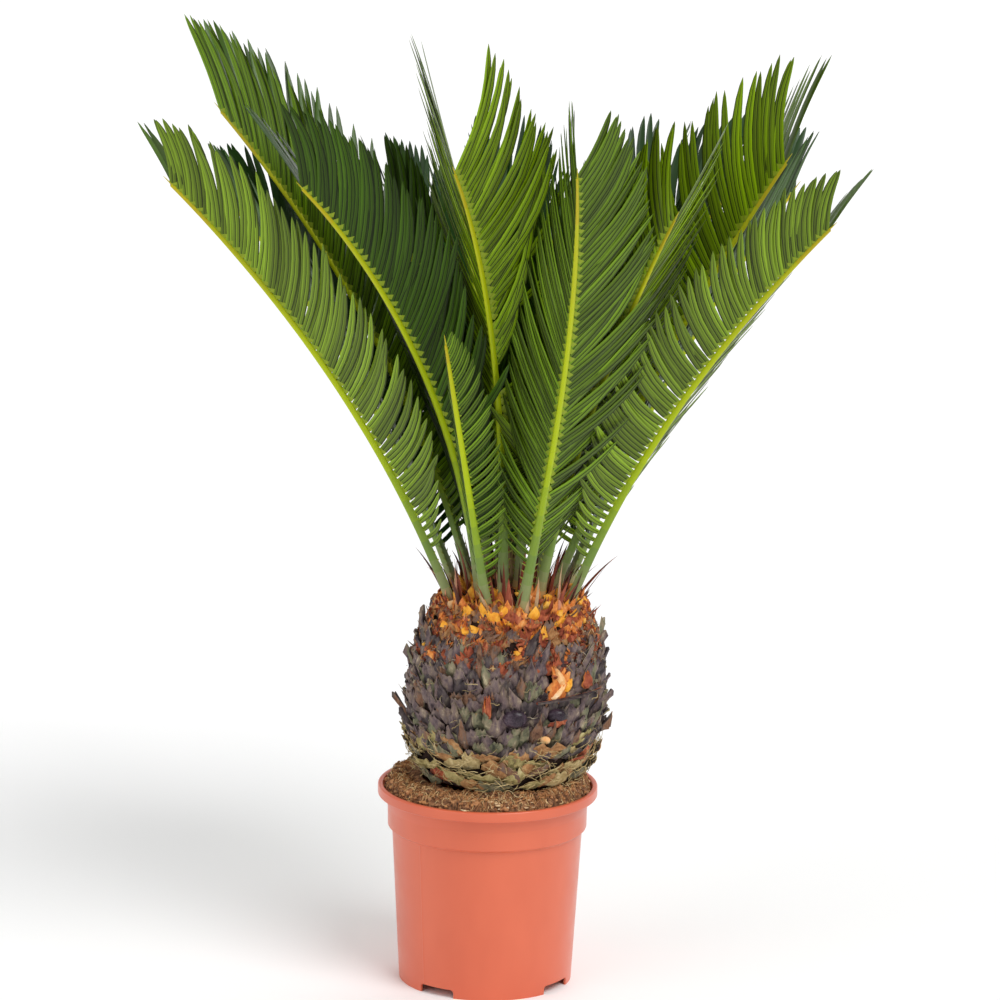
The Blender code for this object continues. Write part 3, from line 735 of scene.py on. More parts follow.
def add_soil_fibres(pile, draw):
    """Thin roots that lie over the peat in loose curves."""
    seeded = np.random.default_rng(SEED + 51)
    x, y = ring_places(draw, ROOT_FIBRES, 0.070, SOIL_RIM_RADIUS - 0.002)
    size = (ROOT_FIBRES, ROOT_STEPS)
    way = seeded.uniform(0, 2 * math.pi, ROOT_FIBRES)
    step = seeded.uniform(*ROOT_LENGTHS, ROOT_FIBRES)[:, None] / ROOT_STEPS
    turns = way[:, None] + seeded.normal(0, 1.2, size).cumsum(axis=1) * 0.55
    x = x[:, None] + np.cumsum(np.cos(turns) * step, axis=1)
    y = y[:, None] + np.cumsum(np.sin(turns) * step, axis=1)
    kept = (np.hypot(x, y) < RIM_INNER_RADIUS - 0.0012).all(axis=1)
    x, y, count = x[kept], y[kept], int(kept.sum())
    hump = np.sin(np.linspace(0.2, 2.9, ROOT_STEPS)) * seeded.uniform(0.0002, 0.0030, (count, 1))
    paths = np.stack([x, y, soil_top(x, y) + 0.0006 + hump], axis=-1)
    radii = seeded.uniform(*ROOT_RADII, (count, 1)) * np.linspace(1.1, 0.5, ROOT_STEPS)
    add_threads(pile, paths, radii, seeded.choice((0, 1, 2, 2, 2, 3, 3), count), 3)


def add_mound(pile):
    """The peat's surface, from under the trunk to just under the pot's rim."""
    radii = np.linspace(0.066, SOIL_RIM_RADIUS, SOIL_ROWS)
    radii = np.concatenate([[0.058], radii, [RIM_INNER_RADIUS - 0.0006]])
    rings = heading(even_bearings(SOIL_COLUMNS)) * radii[:, None, None]
    rings[..., 2] = soil_top(rings[..., 0], rings[..., 1])
    rings[-1, :, 2] = SOIL_RIM_Z - 0.003
    pile.add_skin(rings)


def add_crumbs(pile, draw):
    x, y = ring_places(draw, CRUMBS, 0.068, SOIL_RIM_RADIUS - 0.0005)
    sizes = np.array([0.0005 + 0.0024 * draw.random() ** 3.5 for _ in range(CRUMBS)])
    centres = np.stack([x, y, soil_top(x, y) + 0.3 * sizes], axis=-1)
    slots = [draw.choices((0, 1, 2), (5, 4, 2))[0] for _ in range(CRUMBS)]
    add_lumps(pile, centres, sizes, draw, np.array(slots))


def add_chips(pile, draw):
    """Pale chips, three in four of them in clusters near the rim."""
    x, y = ring_places(draw, CHIPS, 0.074, SOIL_RIM_RADIUS - 0.002)
    ways = heading([draw.choice(CHIP_BEARINGS) + draw.gauss(0, 2.6) for _ in range(CHIPS)])
    gathered = np.arange(CHIPS) % 4 > 0
    radius = np.array([draw.uniform(0.082, 0.0885) for _ in range(CHIPS)])
    x, y = np.where(gathered, ways[:, 0] * radius, x), np.where(gathered, ways[:, 1] * radius, y)
    sizes = np.array([draw.uniform(0.0012, 0.0032) for _ in range(CHIPS)])
    centres = np.stack([x, y, soil_top(x, y) + 0.0012], axis=-1)
    add_lumps(pile, centres, sizes, draw, np.full(CHIPS, 4), 0.35)


def build_soil():
    draw = random.Random(SEED + 52)
    pile = Pile()
    add_mound(pile)
    add_crumbs(pile, draw)
    add_chips(pile, draw)
    add_soil_fibres(pile, draw)
    pile.piece("peat_mound", [mottled_material(*row) for row in PEAT], "soil", 60, ["soil"])


# ---------------------------------------------------------------- trunk


def grid_faces(across, up):
    """Faces of an outer grid, the inner grid behind it, and the rim that joins them. Also which are rim."""
    size = across * up
    i, j = np.meshgrid(np.arange(across - 1), np.arange(up - 1))
    low = (j * across + i).ravel()
    outer = np.stack([low, low + 1, low + across + 1, low + across], axis=-1)
    inner = outer[:, ::-1] + size
    bottom = np.arange(across)
    right = np.arange(up) * across + across - 1
    top = (up - 1) * across + np.arange(across)[::-1]
    left = (np.arange(up) * across)[::-1]
    loop = np.concatenate([bottom[:-1], right[:-1], top[:-1], left[:-1]])
    after = np.roll(loop, -1)
    rim = np.stack([loop, loop + size, after + size, after], axis=-1)
    return outer, inner, rim


class Scales:
    """A batch of old leaf bases on the trunk, each a curved plate with a ragged edge.

    lift leans a plate out towards its tip, curl turns the tip out, and sink sets its foot into the trunk.
    """

    FIELDS = "bearing height width length blunt tilt sink lift thick curl ragged".split()

    def __init__(self, seed):
        self.draw = np.random.default_rng(seed)
        self.rows = []

    def add(self, slots, *values, **more):
        """slots is for the outer side, the inner side and the rim. values are in the order of FIELDS."""
        shape = dict(zip(self.FIELDS, values), **more)
        self.rows.append([shape.get(field, 0.0) for field in self.FIELDS] + list(slots))

    def put(self, pile, across, up):
        """Makes every plate as a grid of so many points, and adds it to the pile."""
        rows = np.array(self.rows, float)
        count = len(self.FIELDS)
        shape = dict(zip(self.FIELDS, rows[:, :count].T[..., None, None]))
        slots = rows[:, count:].astype(int)
        u, v = np.meshgrid(np.linspace(-1, 1, across), np.linspace(0, 1, up))
        phase = self.draw.uniform(0, 2 * math.pi, (6, len(rows), 1, 1))
        x, y = self.outline(u, v, shape, phase)
        sides = self.surfaces(u, v, x, shape["height"] + y, shape, phase)
        points = np.concatenate([side.reshape(len(rows), -1, 3) for side in sides], axis=1)
        parts = grid_faces(across, up)
        every = copies(np.concatenate(parts), len(rows), points.shape[1])
        face_slots = np.repeat(slots, [len(part) for part in parts], axis=1)
        pile.add(points, every, face_slots.ravel())

    def outline(self, u, v, shape, phase):
        """Where each point of a plate lies across and up the trunk's surface."""
        belly = 0.38
        low = mix(0.62, 1.0, np.clip(v / belly, 0, 1) ** 0.7)
        rest = np.clip((v - belly) / (1 - belly), 0, 1)
        high = mix(1.0, np.maximum(shape["blunt"], 0.03), rest**1.15)
        torn = np.sin(9 * v + phase[0] + 1.7 * np.sign(u)) + np.sin(19 * v + phase[1] + 2.9 * np.sign(u))
        half = 0.5 * shape["width"] * np.where(v < belly, low, high) * (1 + 0.5 * shape["ragged"] * torn)
        x = u * half
        y = v * shape["length"] * (1 + shape["ragged"] * v * np.sin(6 * u + phase[2]))
        lean = np.radians(shape["tilt"])
        return x * np.cos(lean) - y * np.sin(lean), x * np.sin(lean) + y * np.cos(lean)

    def surfaces(self, u, v, x, z, shape, phase):
        """The plate's outer and inner surfaces."""
        thick = shape["thick"]
        keel = (1 - np.abs(u) ** 1.6) * (0.25 + 0.75 * np.sin(np.pi * np.clip(v * 1.05, 0, 1)))
        uneven = np.sin(4.3 * u + phase[3]) * np.sin(5.1 * v + phase[4])
        uneven = uneven + 0.5 * np.sin(9 * u + 7 * v + phase[5])
        proud = -shape["sink"] + shape["lift"] * v**1.5 + shape["curl"] * v**4 + thick * 0.8 * keel
        radius = trunk_radius(z) + proud + 0.22 * thick * uneven
        depth = thick * (0.35 + 0.65 * (1 - u**2)) * mix(1.0, 0.35, v)
        bearing = np.degrees(x / np.maximum(trunk_radius(z), 0.02)) + shape["bearing"]
        outer, inner = round_trunk(bearing, z, radius), round_trunk(bearing, z, radius - depth)
        inner[..., 2] -= 0.15 * depth
        return outer, inner


# Trunk materials, in the order of their slots.
CORE_GAP_SHADE, PURPLE, GREY_GREEN, BROWN, BLACK, PALE_AND_EDGE_HIGHLIGHT, ORANGE, YELLOW, RED, OLIVE, STRAW, CREAM, TAN, GLOSS = range(14)
TRUNK_TONES = (
    # The core's near-black tones are painted shade for the gaps between the scales.
    ("trunk_core_gap_shade", 150, 0.9, BARK, (20, 13, 11), (44, 28, 22), (70, 46, 36)),
    ("scale_purple", 170, 0.55, BARK,
     (34, 26, 29), (84, 69, 74), (122, 104, 102), (140, 122, 108), (200, 180, 154)),
    ("scale_grey_green", 170, 0.6, BARK,
     (40, 40, 32), (94, 94, 74), (128, 126, 98), (148, 134, 110), (198, 188, 152)),
    ("scale_brown", 170, 0.78, BARK,
     (54, 35, 28), (116, 82, 64), (144, 108, 84), (118, 102, 94), (190, 156, 122)),
    ("scale_black", 170, 0.5, BARK,
     (22, 18, 18), (54, 45, 47), (80, 68, 70), (100, 90, 82), (130, 116, 102)),
    # The pale tone of fibres, which is also painted highlight on the rims of scales where their edges catch
    # the light.
    ("pale_and_edge_highlight", 200, 0.85, BARK, (122, 108, 88), (164, 150, 126), (206, 194, 168)),
    ("base_orange", 210, 0.62, BARK, (156, 74, 34), (218, 122, 54), (238, 156, 80), (246, 190, 122)),
    ("base_yellow", 150, 0.5, BARK, (220, 128, 30), (250, 176, 52), (252, 204, 104)),
    ("base_red", 210, 0.7, BARK, (84, 38, 28), (148, 70, 48), (182, 98, 64), (216, 142, 98)),
    ("scale_olive", 170, 0.85, BARK, (86, 76, 50), (156, 142, 90), (188, 174, 118), (218, 204, 156)),
    ("fibre_straw", 240, 0.8, FINE, (140, 118, 74), (184, 162, 112), (214, 196, 150)),
    ("wound_cream", 160, 0.5, FINER, (232, 150, 80), (242, 190, 130), (250, 220, 180)),
    ("base_tan", 210, 0.75, BARK, (120, 78, 46), (176, 128, 82), (212, 168, 116)),
    ("knob_gloss", 120, 0.28, FAINT, (28, 20, 26), (52, 40, 50), (84, 68, 78)),
)
# The wound, the cut line below it, the scars and the flap: slots, then bearing, height, width, length,
# bluntness, tilt, sink, lift, thickness, curl and raggedness.
MARKS = (
    ((ORANGE, RED, RED), 27, 0.2660, 0.0200, 0.0290, 0.5, -36, -0.0008, 0.001, 0.005, 0, 0.10),
    ((ORANGE, RED, ORANGE), 36, 0.2740, 0.0140, 0.0240, 0.3, 24, -0.0008, 0.001, 0.005, 0, 0.10),
    # The two cream plates on the wound stand for pale wound tissue and also for painted highlight on it.
    ((CREAM, ORANGE, ORANGE), 35, 0.2790, 0.0085, 0.0185, 0.2, 24, -0.0028, 0.001, 0.005, 0, 0.10),
    ((CREAM, ORANGE, YELLOW), 28, 0.2685, 0.0085, 0.0165, 0.4, -40, -0.0028, 0.001, 0.005, 0, 0.10),
    ((YELLOW, ORANGE, ORANGE), 37, 0.2740, 0.0090, 0.0110, 0.4, -20, -0.0028, 0.001, 0.005, 0, 0.10),
    ((BLACK, RED, RED), 18, 0.2672, 0.0034, 0.0660, 0.4, -88, -0.0050, 0.001, 0.005, 0, 0.10),
    ((RED, ORANGE, ORANGE), 54, 0.2740, 0.0130, 0.0130, 0.5, 10, -0.0050, 0.001, 0.005, 0, 0.10),
    ((RED, RED, ORANGE), -9.8, 0.2540, 0.0075, 0.0190, 0.5, 4, -0.0050, 0.001, 0.005, 0, 0.10),
    ((ORANGE, RED, RED), -10.5, 0.2590, 0.0034, 0.0120, 0.4, 8, -0.0050, 0.001, 0.005, 0, 0.10),
    ((BROWN, BLACK, TAN), 86, 0.2180, 0.0200, 0.0160, 0.6, 0, 0.0020, 0.011, 0.002, 0.002, 0.45),
)


def add_core(pile):
    """The barrel behind the scales, near-black as painted shade where it shows in the gaps between them, with
    the terraces that carry the crown.
    """
    heights = np.linspace(TRUNK_FOOT_Z, SHOULDER_Z - 0.001, 30)
    profile = [(trunk_radius(z) - CORE_INSET, z) for z in heights]
    below = SHOULDER_Z
    for tier in ("mid", "top"):
        _, edge, height = TIERS[tier]
        profile += [(edge + 0.002, below), (edge, height)]
        below = height
    profile = np.array(profile + [(AXIS_HOLE, TRUNK_TOP_Z)], float)
    z = np.repeat(profile[:, 1:], CORE_COLUMNS, axis=1)
    rough = np.random.default_rng(SEED + 60).normal(0, 0.0006, z.shape)
    radius = profile[:, :1] + np.where(z < SHOULDER_Z, rough, 0)
    pile.add_skin(round_trunk(even_bearings(CORE_COLUMNS), z, radius), close_start=True, slots=CORE_GAP_SHADE)


def pick(draw, choices, weights):
    return choices[int(draw.choice(len(choices), p=np.array(weights) / sum(weights)))]


def in_wound(bearing, height):
    """Whether a place lies where the fresh wound is."""
    return abs(across_from(bearing, WOUND_BEARING)) < 9 and abs(height - WOUND_Z) < 0.013


def staggered(rows, around, first, last):
    """Each place's share of the rows, bearing, and height or lean, every row half a step round."""
    for row in range(rows):
        for i in range(around):
            yield row / (rows - 1), 360 * (i + 0.5 * (row % 2)) / around, mix(first, last, row / (rows - 1))


def middle_scales(scales, draw):
    """Dark rounded bumps over the middle of the barrel, with thorny ones among them."""
    for _, bearing, height in staggered(*MIDDLE_ROWS):
        bearing += draw.normal(0, 1.3)
        size = draw.uniform(0.85, 1.18)
        thorny = draw.random() < 0.13
        green = float(np.clip((0.245 - height) / 0.03, 0, 1))
        face = pick(draw, (PURPLE, GREY_GREEN, BROWN, BLACK), (6, 1.4 + 4 * green, 1.0, 2.4))
        # A pale rim is painted highlight on the plate's edge.
        edge = pick(draw, (BLACK, PALE_AND_EDGE_HIGHLIGHT, BROWN), (2.0, 2.8, 0.8))
        girth = float(trunk_radius(height)) / BELLY_RADIUS
        shape = {
            "width": 0.0172 * size * (0.7 if thorny else 1) * girth,
            "length": 0.0150 * size * (1.7 if thorny else draw.uniform(0.85, 1.12)),
            "lift": 0.0046 * draw.uniform(0.5, 1.5) * (2.2 if thorny else 1),
            "thick": draw.uniform(0.0034, 0.0056),
            "blunt": 0.03 if thorny else draw.uniform(0.15, 0.65),
            "tilt": draw.normal(0, 8),
            "curl": draw.uniform(-0.001, 0.0034),
            "ragged": draw.uniform(0.05, 0.18),
        }
        place = height + draw.normal(0, 0.0013)
        if not in_wound(bearing, place + 0.006):
            scales.add((face, BLACK, edge), bearing, place, sink=0.0034, **shape)


def upper_scales(scales, draw):
    """Torn leaf bases round the shoulder, dark red at first and orange and yellow towards the crown."""
    for _ in range(TORN_BASES):
        share = draw.random() ** 0.9
        size = mix(draw.uniform(0.7, 1.2), draw.uniform(0.6, 1.1), share)
        warm = (6 - 2 * share, 0.5 + 4 * share, 2 * share**2)
        weights = (*warm, 3.4 - 2 * share, 1.4, 1.4 - 1.4 * share, 2 - 2 * share)
        face = pick(draw, (RED, ORANGE, YELLOW, BROWN, TAN, BLACK, PURPLE), weights)
        edge = pick(draw, (ORANGE, TAN, RED, CREAM), (4 * share + 0.5, 2, 3, 0.8))
        shape = {
            "bearing": draw.uniform(-180, 180),
            "lift": draw.uniform(0.0, 0.0055),
            "thick": draw.uniform(0.0020, 0.0046),
            "blunt": draw.uniform(0.1, 0.9),
            "tilt": draw.normal(0, 36),
            "curl": draw.uniform(-0.001, 0.0045),
            "ragged": draw.uniform(0.12, 0.36),
        }
        shape.update(height=mix(0.2860, 0.3330, share), width=0.0120 * size, length=0.0125 * size)
        scales.add((face, RED, edge), sink=0.0028, **shape)


def lower_scales(scales, draw):
    """Flattened pale olive scales in loose folds at the trunk's foot."""
    for high, bearing, height in staggered(*LOWER_ROWS):
        if draw.random() < 0.55 * high**2:
            continue
        weights = (4 - high, 2.6, 1.2 + 2.4 * high, 2.0, 3.0, 1.2, 0.5)
        face = pick(draw, (OLIVE, STRAW, GREY_GREEN, BROWN, TAN, RED, BLACK), weights)
        # A pale rim is painted highlight on the plate's edge.
        edge = pick(draw, (STRAW, OLIVE, PALE_AND_EDGE_HIGHLIGHT, CREAM), (3, 1.6, 1.5, 0.5))
        shape = {
            "bearing": bearing + draw.normal(0, 5.0),
            "height": height + draw.normal(0, 0.0020),
            "width": 0.0330 * draw.uniform(0.5, 1.15),
            "length": 0.0105 * draw.uniform(0.75, 1.5),
            "lift": 0.0058 * draw.uniform(0.3, 1.5),
            "thick": draw.uniform(0.0022, 0.0046),
            "blunt": draw.uniform(0.3, 0.9),
            "tilt": draw.normal(0, 13),
            "curl": draw.uniform(-0.001, 0.0030),
            "ragged": draw.uniform(0.06, 0.24),
        }
        scales.add((face, BLACK, edge), sink=0.0024, **shape)


def add_torn_lumps(pile, draw):
    """Crumbling bits among the torn bases."""
    share = draw.random(TORN_LUMPS)
    height = mix(0.2920, 0.3390, share)
    bearing = draw.uniform(-180, 180, TORN_LUMPS)
    radius = trunk_radius(height) + draw.uniform(-0.0015, 0.0022, TORN_LUMPS)
    sizes = draw.uniform(0.0010, 0.0030, TORN_LUMPS)
    tones = (RED, ORANGE, YELLOW, TAN, BROWN)
    slots = [pick(draw, tones, (3, 1 + 3 * t, 1.2 * t, 1.5, 3 - 2 * t)) for t in share]
    centres = round_trunk(bearing, height, radius)
    add_lumps(pile, centres, sizes, random.Random(SEED + 64), np.array(slots), 1.2)


def add_fleshy_lumps(pile, draw):
    """Plump yellow and orange flesh on the terraces, round the petioles' feet."""
    outward = draw.random(FLESHY_LUMPS) ** 0.7
    bearing = draw.uniform(-180, 180, FLESHY_LUMPS)
    rise = draw.uniform(-0.001, 1, FLESHY_LUMPS) ** 2 * mix(0.016, 0.003, outward)
    sizes = draw.uniform(0.0018, 0.0052, FLESHY_LUMPS)
    slots = [pick(draw, (YELLOW, ORANGE, RED, CREAM), (4, 4, 1.5, 0.7)) for _ in sizes]
    centres = round_trunk(bearing, SHOULDER_Z + rise, mix(0.036, 0.0585, outward))
    add_lumps(pile, centres, sizes, random.Random(SEED + 66), np.array(slots), 1.25)


def add_thorns(pile, draw):
    """Stiff dry tips that stand out between the scales all round."""
    tubes, slots = [], []
    for _ in range(THORNS):
        bearing, height = draw.uniform(-180, 180), draw.uniform(0.212, 0.334)
        foot = round_trunk(bearing, height, trunk_radius(height) - 0.001)
        length, half = draw.uniform(0.008, 0.0165), draw.uniform(0.0009, 0.0017)
        lean, hook = draw.uniform(28, 62), draw.uniform(-45, 5)
        tubes.append(ribbon_rings(foot, bearing, lean, hook, length, half, 0.7 * half))
        slots.append(pick(draw, (BLACK, PURPLE, BROWN, RED), (3, 3, 2, 3 if height > 0.3 else 0.3)))
    pile.add_tubes(tubes, slots)


def add_crown_bases(pile, draw):
    """Fleshy and torn bases that stand on the terraces between the petioles' feet."""
    tubes, slots = [], []
    for _ in range(CROWN_BASES):
        tier = pick(draw, ("low", "mid", "top"), (8, 3, 1.5))
        ring, edge, _ = TIERS[tier]
        bearing, radius = draw.uniform(-180, 180), draw.uniform(ring - 0.009, edge - 0.0005)
        outward = (radius - ring + 0.009) / (edge - ring + 0.009)
        fleshy = draw.random() < 0.45
        length = draw.uniform(0.008, 0.017) if fleshy else draw.uniform(0.007, 0.017)
        half = draw.uniform(0.0034, 0.0066) if fleshy else draw.uniform(0.0012, 0.0030)
        lean, hook = mix(0, 30, outward) + draw.normal(0, 8), draw.uniform(-10, 25)
        foot = foot_on_tier(bearing, tier, radius) - 0.002 * UP
        tubes.append(ribbon_rings(foot, bearing, lean, hook, length, half, 0.6 * half, draw.normal(0, 14)))
        if fleshy:
            slots.append(pick(draw, (ORANGE, YELLOW, RED), (4, 3.6, 0.7)))
        else:
            slots.append(pick(draw, (RED, ORANGE, TAN, BROWN), (5, 3.5, 1.6, 1.5)))
    pile.add_tubes(tubes, slots)


def add_trunk_fibres(pile, draw):
    """Torn fibres that hang between the old scales, most of them near the foot."""
    count, steps = BARK_FIBRES, BARK_FIBRE_STEPS
    low = draw.random(count) < 0.66
    z = np.where(low, draw.uniform(0.188, 0.222, count), draw.uniform(0.205, 0.325, count))
    bearing = draw.uniform(-180, 180, count)
    length = np.where(low, draw.uniform(0.006, 0.026, count), draw.uniform(0.004, 0.013, count))
    slope = draw.normal(0, 1.0, (count, 1))
    share = np.linspace(0, 1, steps)
    arc = length[:, None] * share
    hand = np.where(draw.random((count, 1)) < 0.5, 1, -1)
    turn = np.degrees(arc * np.cos(slope) / BELLY_RADIUS) * hand
    height = z[:, None] + arc * np.sin(slope) * 0.6 + draw.normal(0, 0.0006, (count, steps)).cumsum(axis=1)
    height = np.clip(height, TRUNK_FOOT_Z + 0.0008, 0.332)
    proud = 0.0020 + draw.uniform(0, 0.0034, (count, 1))
    proud = proud + np.sin(share * math.pi) * draw.uniform(0, 0.0025, (count, 1))
    paths = round_trunk(bearing[:, None] + turn, height, trunk_radius(height) + proud)
    radii = draw.uniform(0.00018, 0.00048, (count, 1)) * np.linspace(1.0, 0.5, steps)
    slots = np.where(low, STRAW, draw.choice([STRAW, BROWN, PALE_AND_EDGE_HIGHLIGHT], count))
    add_threads(pile, paths, radii, slots, 3)


def add_marks(pile, scales):
    """The marks, and the rounded buds with the torn rim below one of them."""
    for mark in MARKS:
        scales.add(*mark)
    for bearing, height, size, rim in KNOBS:
        centre = round_trunk(bearing, height, trunk_radius(height) + 0.0022)
        add_knob(pile, centre, size, GLOSS if size > 0.005 else CREAM)
        if rim:
            shape = (2.1 * size, 0.007, 0.9, 0, -0.0030, 0.003, 0.003, 0.001, 0.08)
            # Its pale rim is painted highlight on the edge.
            scales.add((RED, BLACK, PALE_AND_EDGE_HIGHLIGHT), bearing, height - 0.010, *shape)


def add_knob(pile, centre, size, slot):
    """A rounded bud, a little flattened."""
    turns = even_turns(14)
    rise = np.linspace(-0.98, 0.98, 9)[:, None]
    level = np.sqrt(1 - rise**2)
    rings = np.stack([np.cos(turns) * level, 0.55 * np.sin(turns) * level, 0.8 * rise + 0 * turns], axis=-1)
    pile.add_tubes(centre + rings[None] * size, slot)


def build_trunk():
    draw = np.random.default_rng(SEED + 62)
    materials = [mottled_material(*row) for row in TRUNK_TONES]
    barrel, shoulder = Pile(), Pile()
    add_core(barrel)
    scales = Scales(SEED + 63)
    lower_scales(scales, draw)
    middle_scales(scales, draw)
    add_marks(barrel, scales)
    scales.put(barrel, 7, 7)
    scales = Scales(SEED + 65)
    upper_scales(scales, draw)
    scales.put(shoulder, 7, 6)
    add_torn_lumps(shoulder, draw)
    add_fleshy_lumps(shoulder, draw)
    add_thorns(shoulder, draw)
    add_crown_bases(shoulder, draw)
    add_trunk_fibres(barrel, draw)
    barrel.piece("trunk_scales", materials, "trunk", 45, ["trunk"])
    shoulder.piece("trunk_bases", materials, "trunk", 45, ["trunk"])


# ---------------------------------------------------------------- cataphylls and crown heart


def foot_on_tier(bearing, tier, radius=None):
    ring, _, height = TIERS[tier]
    return round_trunk(bearing, height, 0) + GAP * UP + heading(bearing) * (radius or ring)


def numbered(name, rows):
    return [f"{name}_{number:02d}" for number in range(1, len(rows) + 1)]


def ribbon_rings(foot, bearing, lean, hook, length, half_width, half_depth, sway=0.0):
    """The rings of a pointed, hollow-backed scale that hooks outwards."""
    s = np.linspace(0, 1, RIBBON_RINGS)
    bearing = bearing + sway * s
    ways = along(bearing, lean + hook * s**1.5)
    steps = (ways[1:] + ways[:-1]) / 2 * (length / (RIBBON_RINGS - 1))
    path = foot + np.cumsum(np.vstack([np.zeros(3), steps]), axis=0)
    side = np.cross(UP, heading(bearing))
    width = ((1 - s**1.7) * mix(0.85, 1.0, np.sin(np.pi * s)) + 0.04)[:, None]
    wide, deep = side * half_width * width, np.cross(side, ways) * half_depth * width
    return np.stack([path + wide * a + deep * b for a, b in RIBBON_CORNERS], axis=1)


def build_cataphylls():
    draw = random.Random(SEED + 70)
    tubes, slots = [], []
    for bearing, radius, lean, length, tier in CATAPHYLLS:
        shape = (lean, CATAPHYLL_HOOK, length, CATAPHYLL_HALF_WIDTH, CATAPHYLL_HALF_DEPTH)
        tubes.append(ribbon_rings(foot_on_tier(bearing, tier, radius), bearing, *shape))
        slots.append(draw.choice((0, 1)))
    for _ in range(SMALL_CATAPHYLLS):
        tier = draw.choices(("low", "mid", "top"), (6, 3, 1))[0]
        ring, edge, _ = TIERS[tier]
        bearing = draw.uniform(-180, 180)
        radius = draw.uniform(ring - 0.008, edge - 0.002)
        lean = draw.uniform(-4, 30) * radius / 0.05
        size = draw.uniform(0.0011, 0.0029)
        shape = (lean, draw.uniform(0, 40), draw.uniform(0.014, 0.044), size, 0.45 * size)
        foot = foot_on_tier(bearing, tier, radius)
        tubes.append(ribbon_rings(foot, bearing, *shape, draw.uniform(-25, 25)))
        slots.append(draw.choices((0, 1, 2, 3), (4, 4, 1.4, 1))[0])
    pile = Pile()
    pile.add_tubes(tubes, slots)
    materials = [mottled_material(*row) for row in CATAPHYLL_TONES]
    pile.piece("cataphylls", materials, "cataphylls", 50, numbered("cataphyll", CATAPHYLLS))


def build_heart():
    """The woolly bud in the middle of the crown, in overlapping scales."""
    draw = np.random.default_rng(SEED + 71)
    foot = np.array([TRUNK_TOP_X, 0.0, TRUNK_TOP_Z + GAP])
    tubes, slots = [], []
    for inward, bearing, lean in staggered(*HEART_ROWS):
        bearing += draw.normal(0, 5)
        start = foot + heading(bearing) * HEART_RADIUS * mix(0.75, 0.2, inward)
        length = HEART_HEIGHT * mix(0.55, 0.95, inward) * draw.uniform(0.9, 1.0)
        tubes.append(ribbon_rings(start, bearing, lean, -4, length, 0.0026, 0.0012))
        slots.append(int(draw.integers(0, 2)))
    pile = Pile()
    pile.add_tubes(tubes, slots)
    materials = [mottled_material(*row) for row in BUD_TONES]
    pile.piece("crown_bud", materials, "cataphylls", 50, ["crown_heart"])


# ---------------------------------------------------------------- fronds


class Rib:
    """The curve of one frond's rib, with a frame at each share of its length."""

    STEPS = 60
    FIELDS = "foot bearing turn lean_foot lean_tip roll length last tier leaf rise spread tone".split()

    def __init__(self, row):
        for field, value in zip(self.FIELDS, row):
            setattr(self, field, value)
        steps = self.tangent((np.arange(self.STEPS) + 0.5) / self.STEPS) * (self.length / self.STEPS)
        self.points = foot_on_tier(self.foot, self.tier) + np.vstack([np.zeros(3), np.cumsum(steps, axis=0)])

    def tangent(self, share):
        return along(self.bearing + self.turn * share, mix(self.lean_foot, self.lean_tip, share))

    def at(self, share):
        place = np.minimum(share, 1.0) * self.STEPS
        i = np.minimum(place.astype(int), self.STEPS - 1)
        return self.points[i] + (self.points[i + 1] - self.points[i]) * (place - i)[..., None]

    def frame(self, share):
        """Forward along the rib, to its side, and up out of its upper face."""
        forward = self.tangent(share)
        side = np.cross(UP, heading(self.bearing + self.turn * share))
        rolled = np.radians(self.roll * np.minimum(1.0, share / ROLLED_BY))[..., None]
        side = side * np.cos(rolled) + np.cross(forward, side) * np.sin(rolled)
        return forward, side, np.cross(forward, side)

    def place(self, share):
        """The point at one share of the length, and the frame there."""
        share = np.array([share])
        return self.at(share)[0], *(way[0] for way in self.frame(share))


def rib_half_width(share):
    return np.interp(share, RIB_SHARES, RIB_HALF_WIDTHS)


def rib_rings(rib):
    """Twelve corners a ring: a shallow groove above, rounded sides and a keel below."""
    share = np.linspace(0, 1, RIB_RINGS) ** 1.25
    forward, side, up = rib.frame(share)
    wide = side * rib_half_width(share)[:, None]
    keel = up * (np.interp(share, RIB_SHARES, RIB_KEELS) + RIB_EDGE)[:, None]
    flare = mix(FOOT_FLARE, 1.0, np.clip(share / 0.03, 0, 1) ** 0.6)[:, None, None]
    ring = [wide * a + up * (b * RIB_EDGE) for a, b in RIB_UPPER]
    ring += [-wide * math.cos(a) - keel * math.sin(a) for a in np.radians(RIB_LOWER)]
    middle = rib.at(share)
    rings = middle[:, None] + np.stack(ring, axis=1) * flare
    above = (rings[0, :, 2] - middle[0, 2]) / forward[0, 2]
    rings[0] -= forward[0] * above[:, None]
    return rings, share


def rib_slots(rib, share):
    """The colour step of a rib at a share of its length, in shorter steps near the foot."""
    reached = share * (rib.length / FULL_RIB) ** (1 - share)
    return np.minimum((reached**RIB_STEP_POWER * RIB_STEPS).astype(int), RIB_STEPS - 1)


def rib_colour(step):
    """Tan and grey-green with bloom at the foot, lime above, and gold at the tip."""
    share = ((step + 0.5) / RIB_STEPS) ** (1 / RIB_STEP_POWER)
    places = [place for place, _ in RIB_STOPS]
    return [float(np.interp(share, places, [rgb[i] for _, rgb in RIB_STOPS])) for i in range(3)]


def leaflet_shares(blade, last):
    """How long a leaflet is, as a share of the longest, at places from 0 to 1 along the blade."""
    rise = np.sin(math.pi / 2 * np.clip(blade / LEAFLET_FULL_FROM, 0, 1)) ** 0.8
    rest = np.clip((blade - LEAFLET_FULL_FROM) / (1 - LEAFLET_FULL_FROM), 0, 1)
    return np.where(blade < LEAFLET_FULL_FROM, mix(LEAFLET_FIRST_SHARE, 1.0, rise), mix(1.0, last, rest**4))


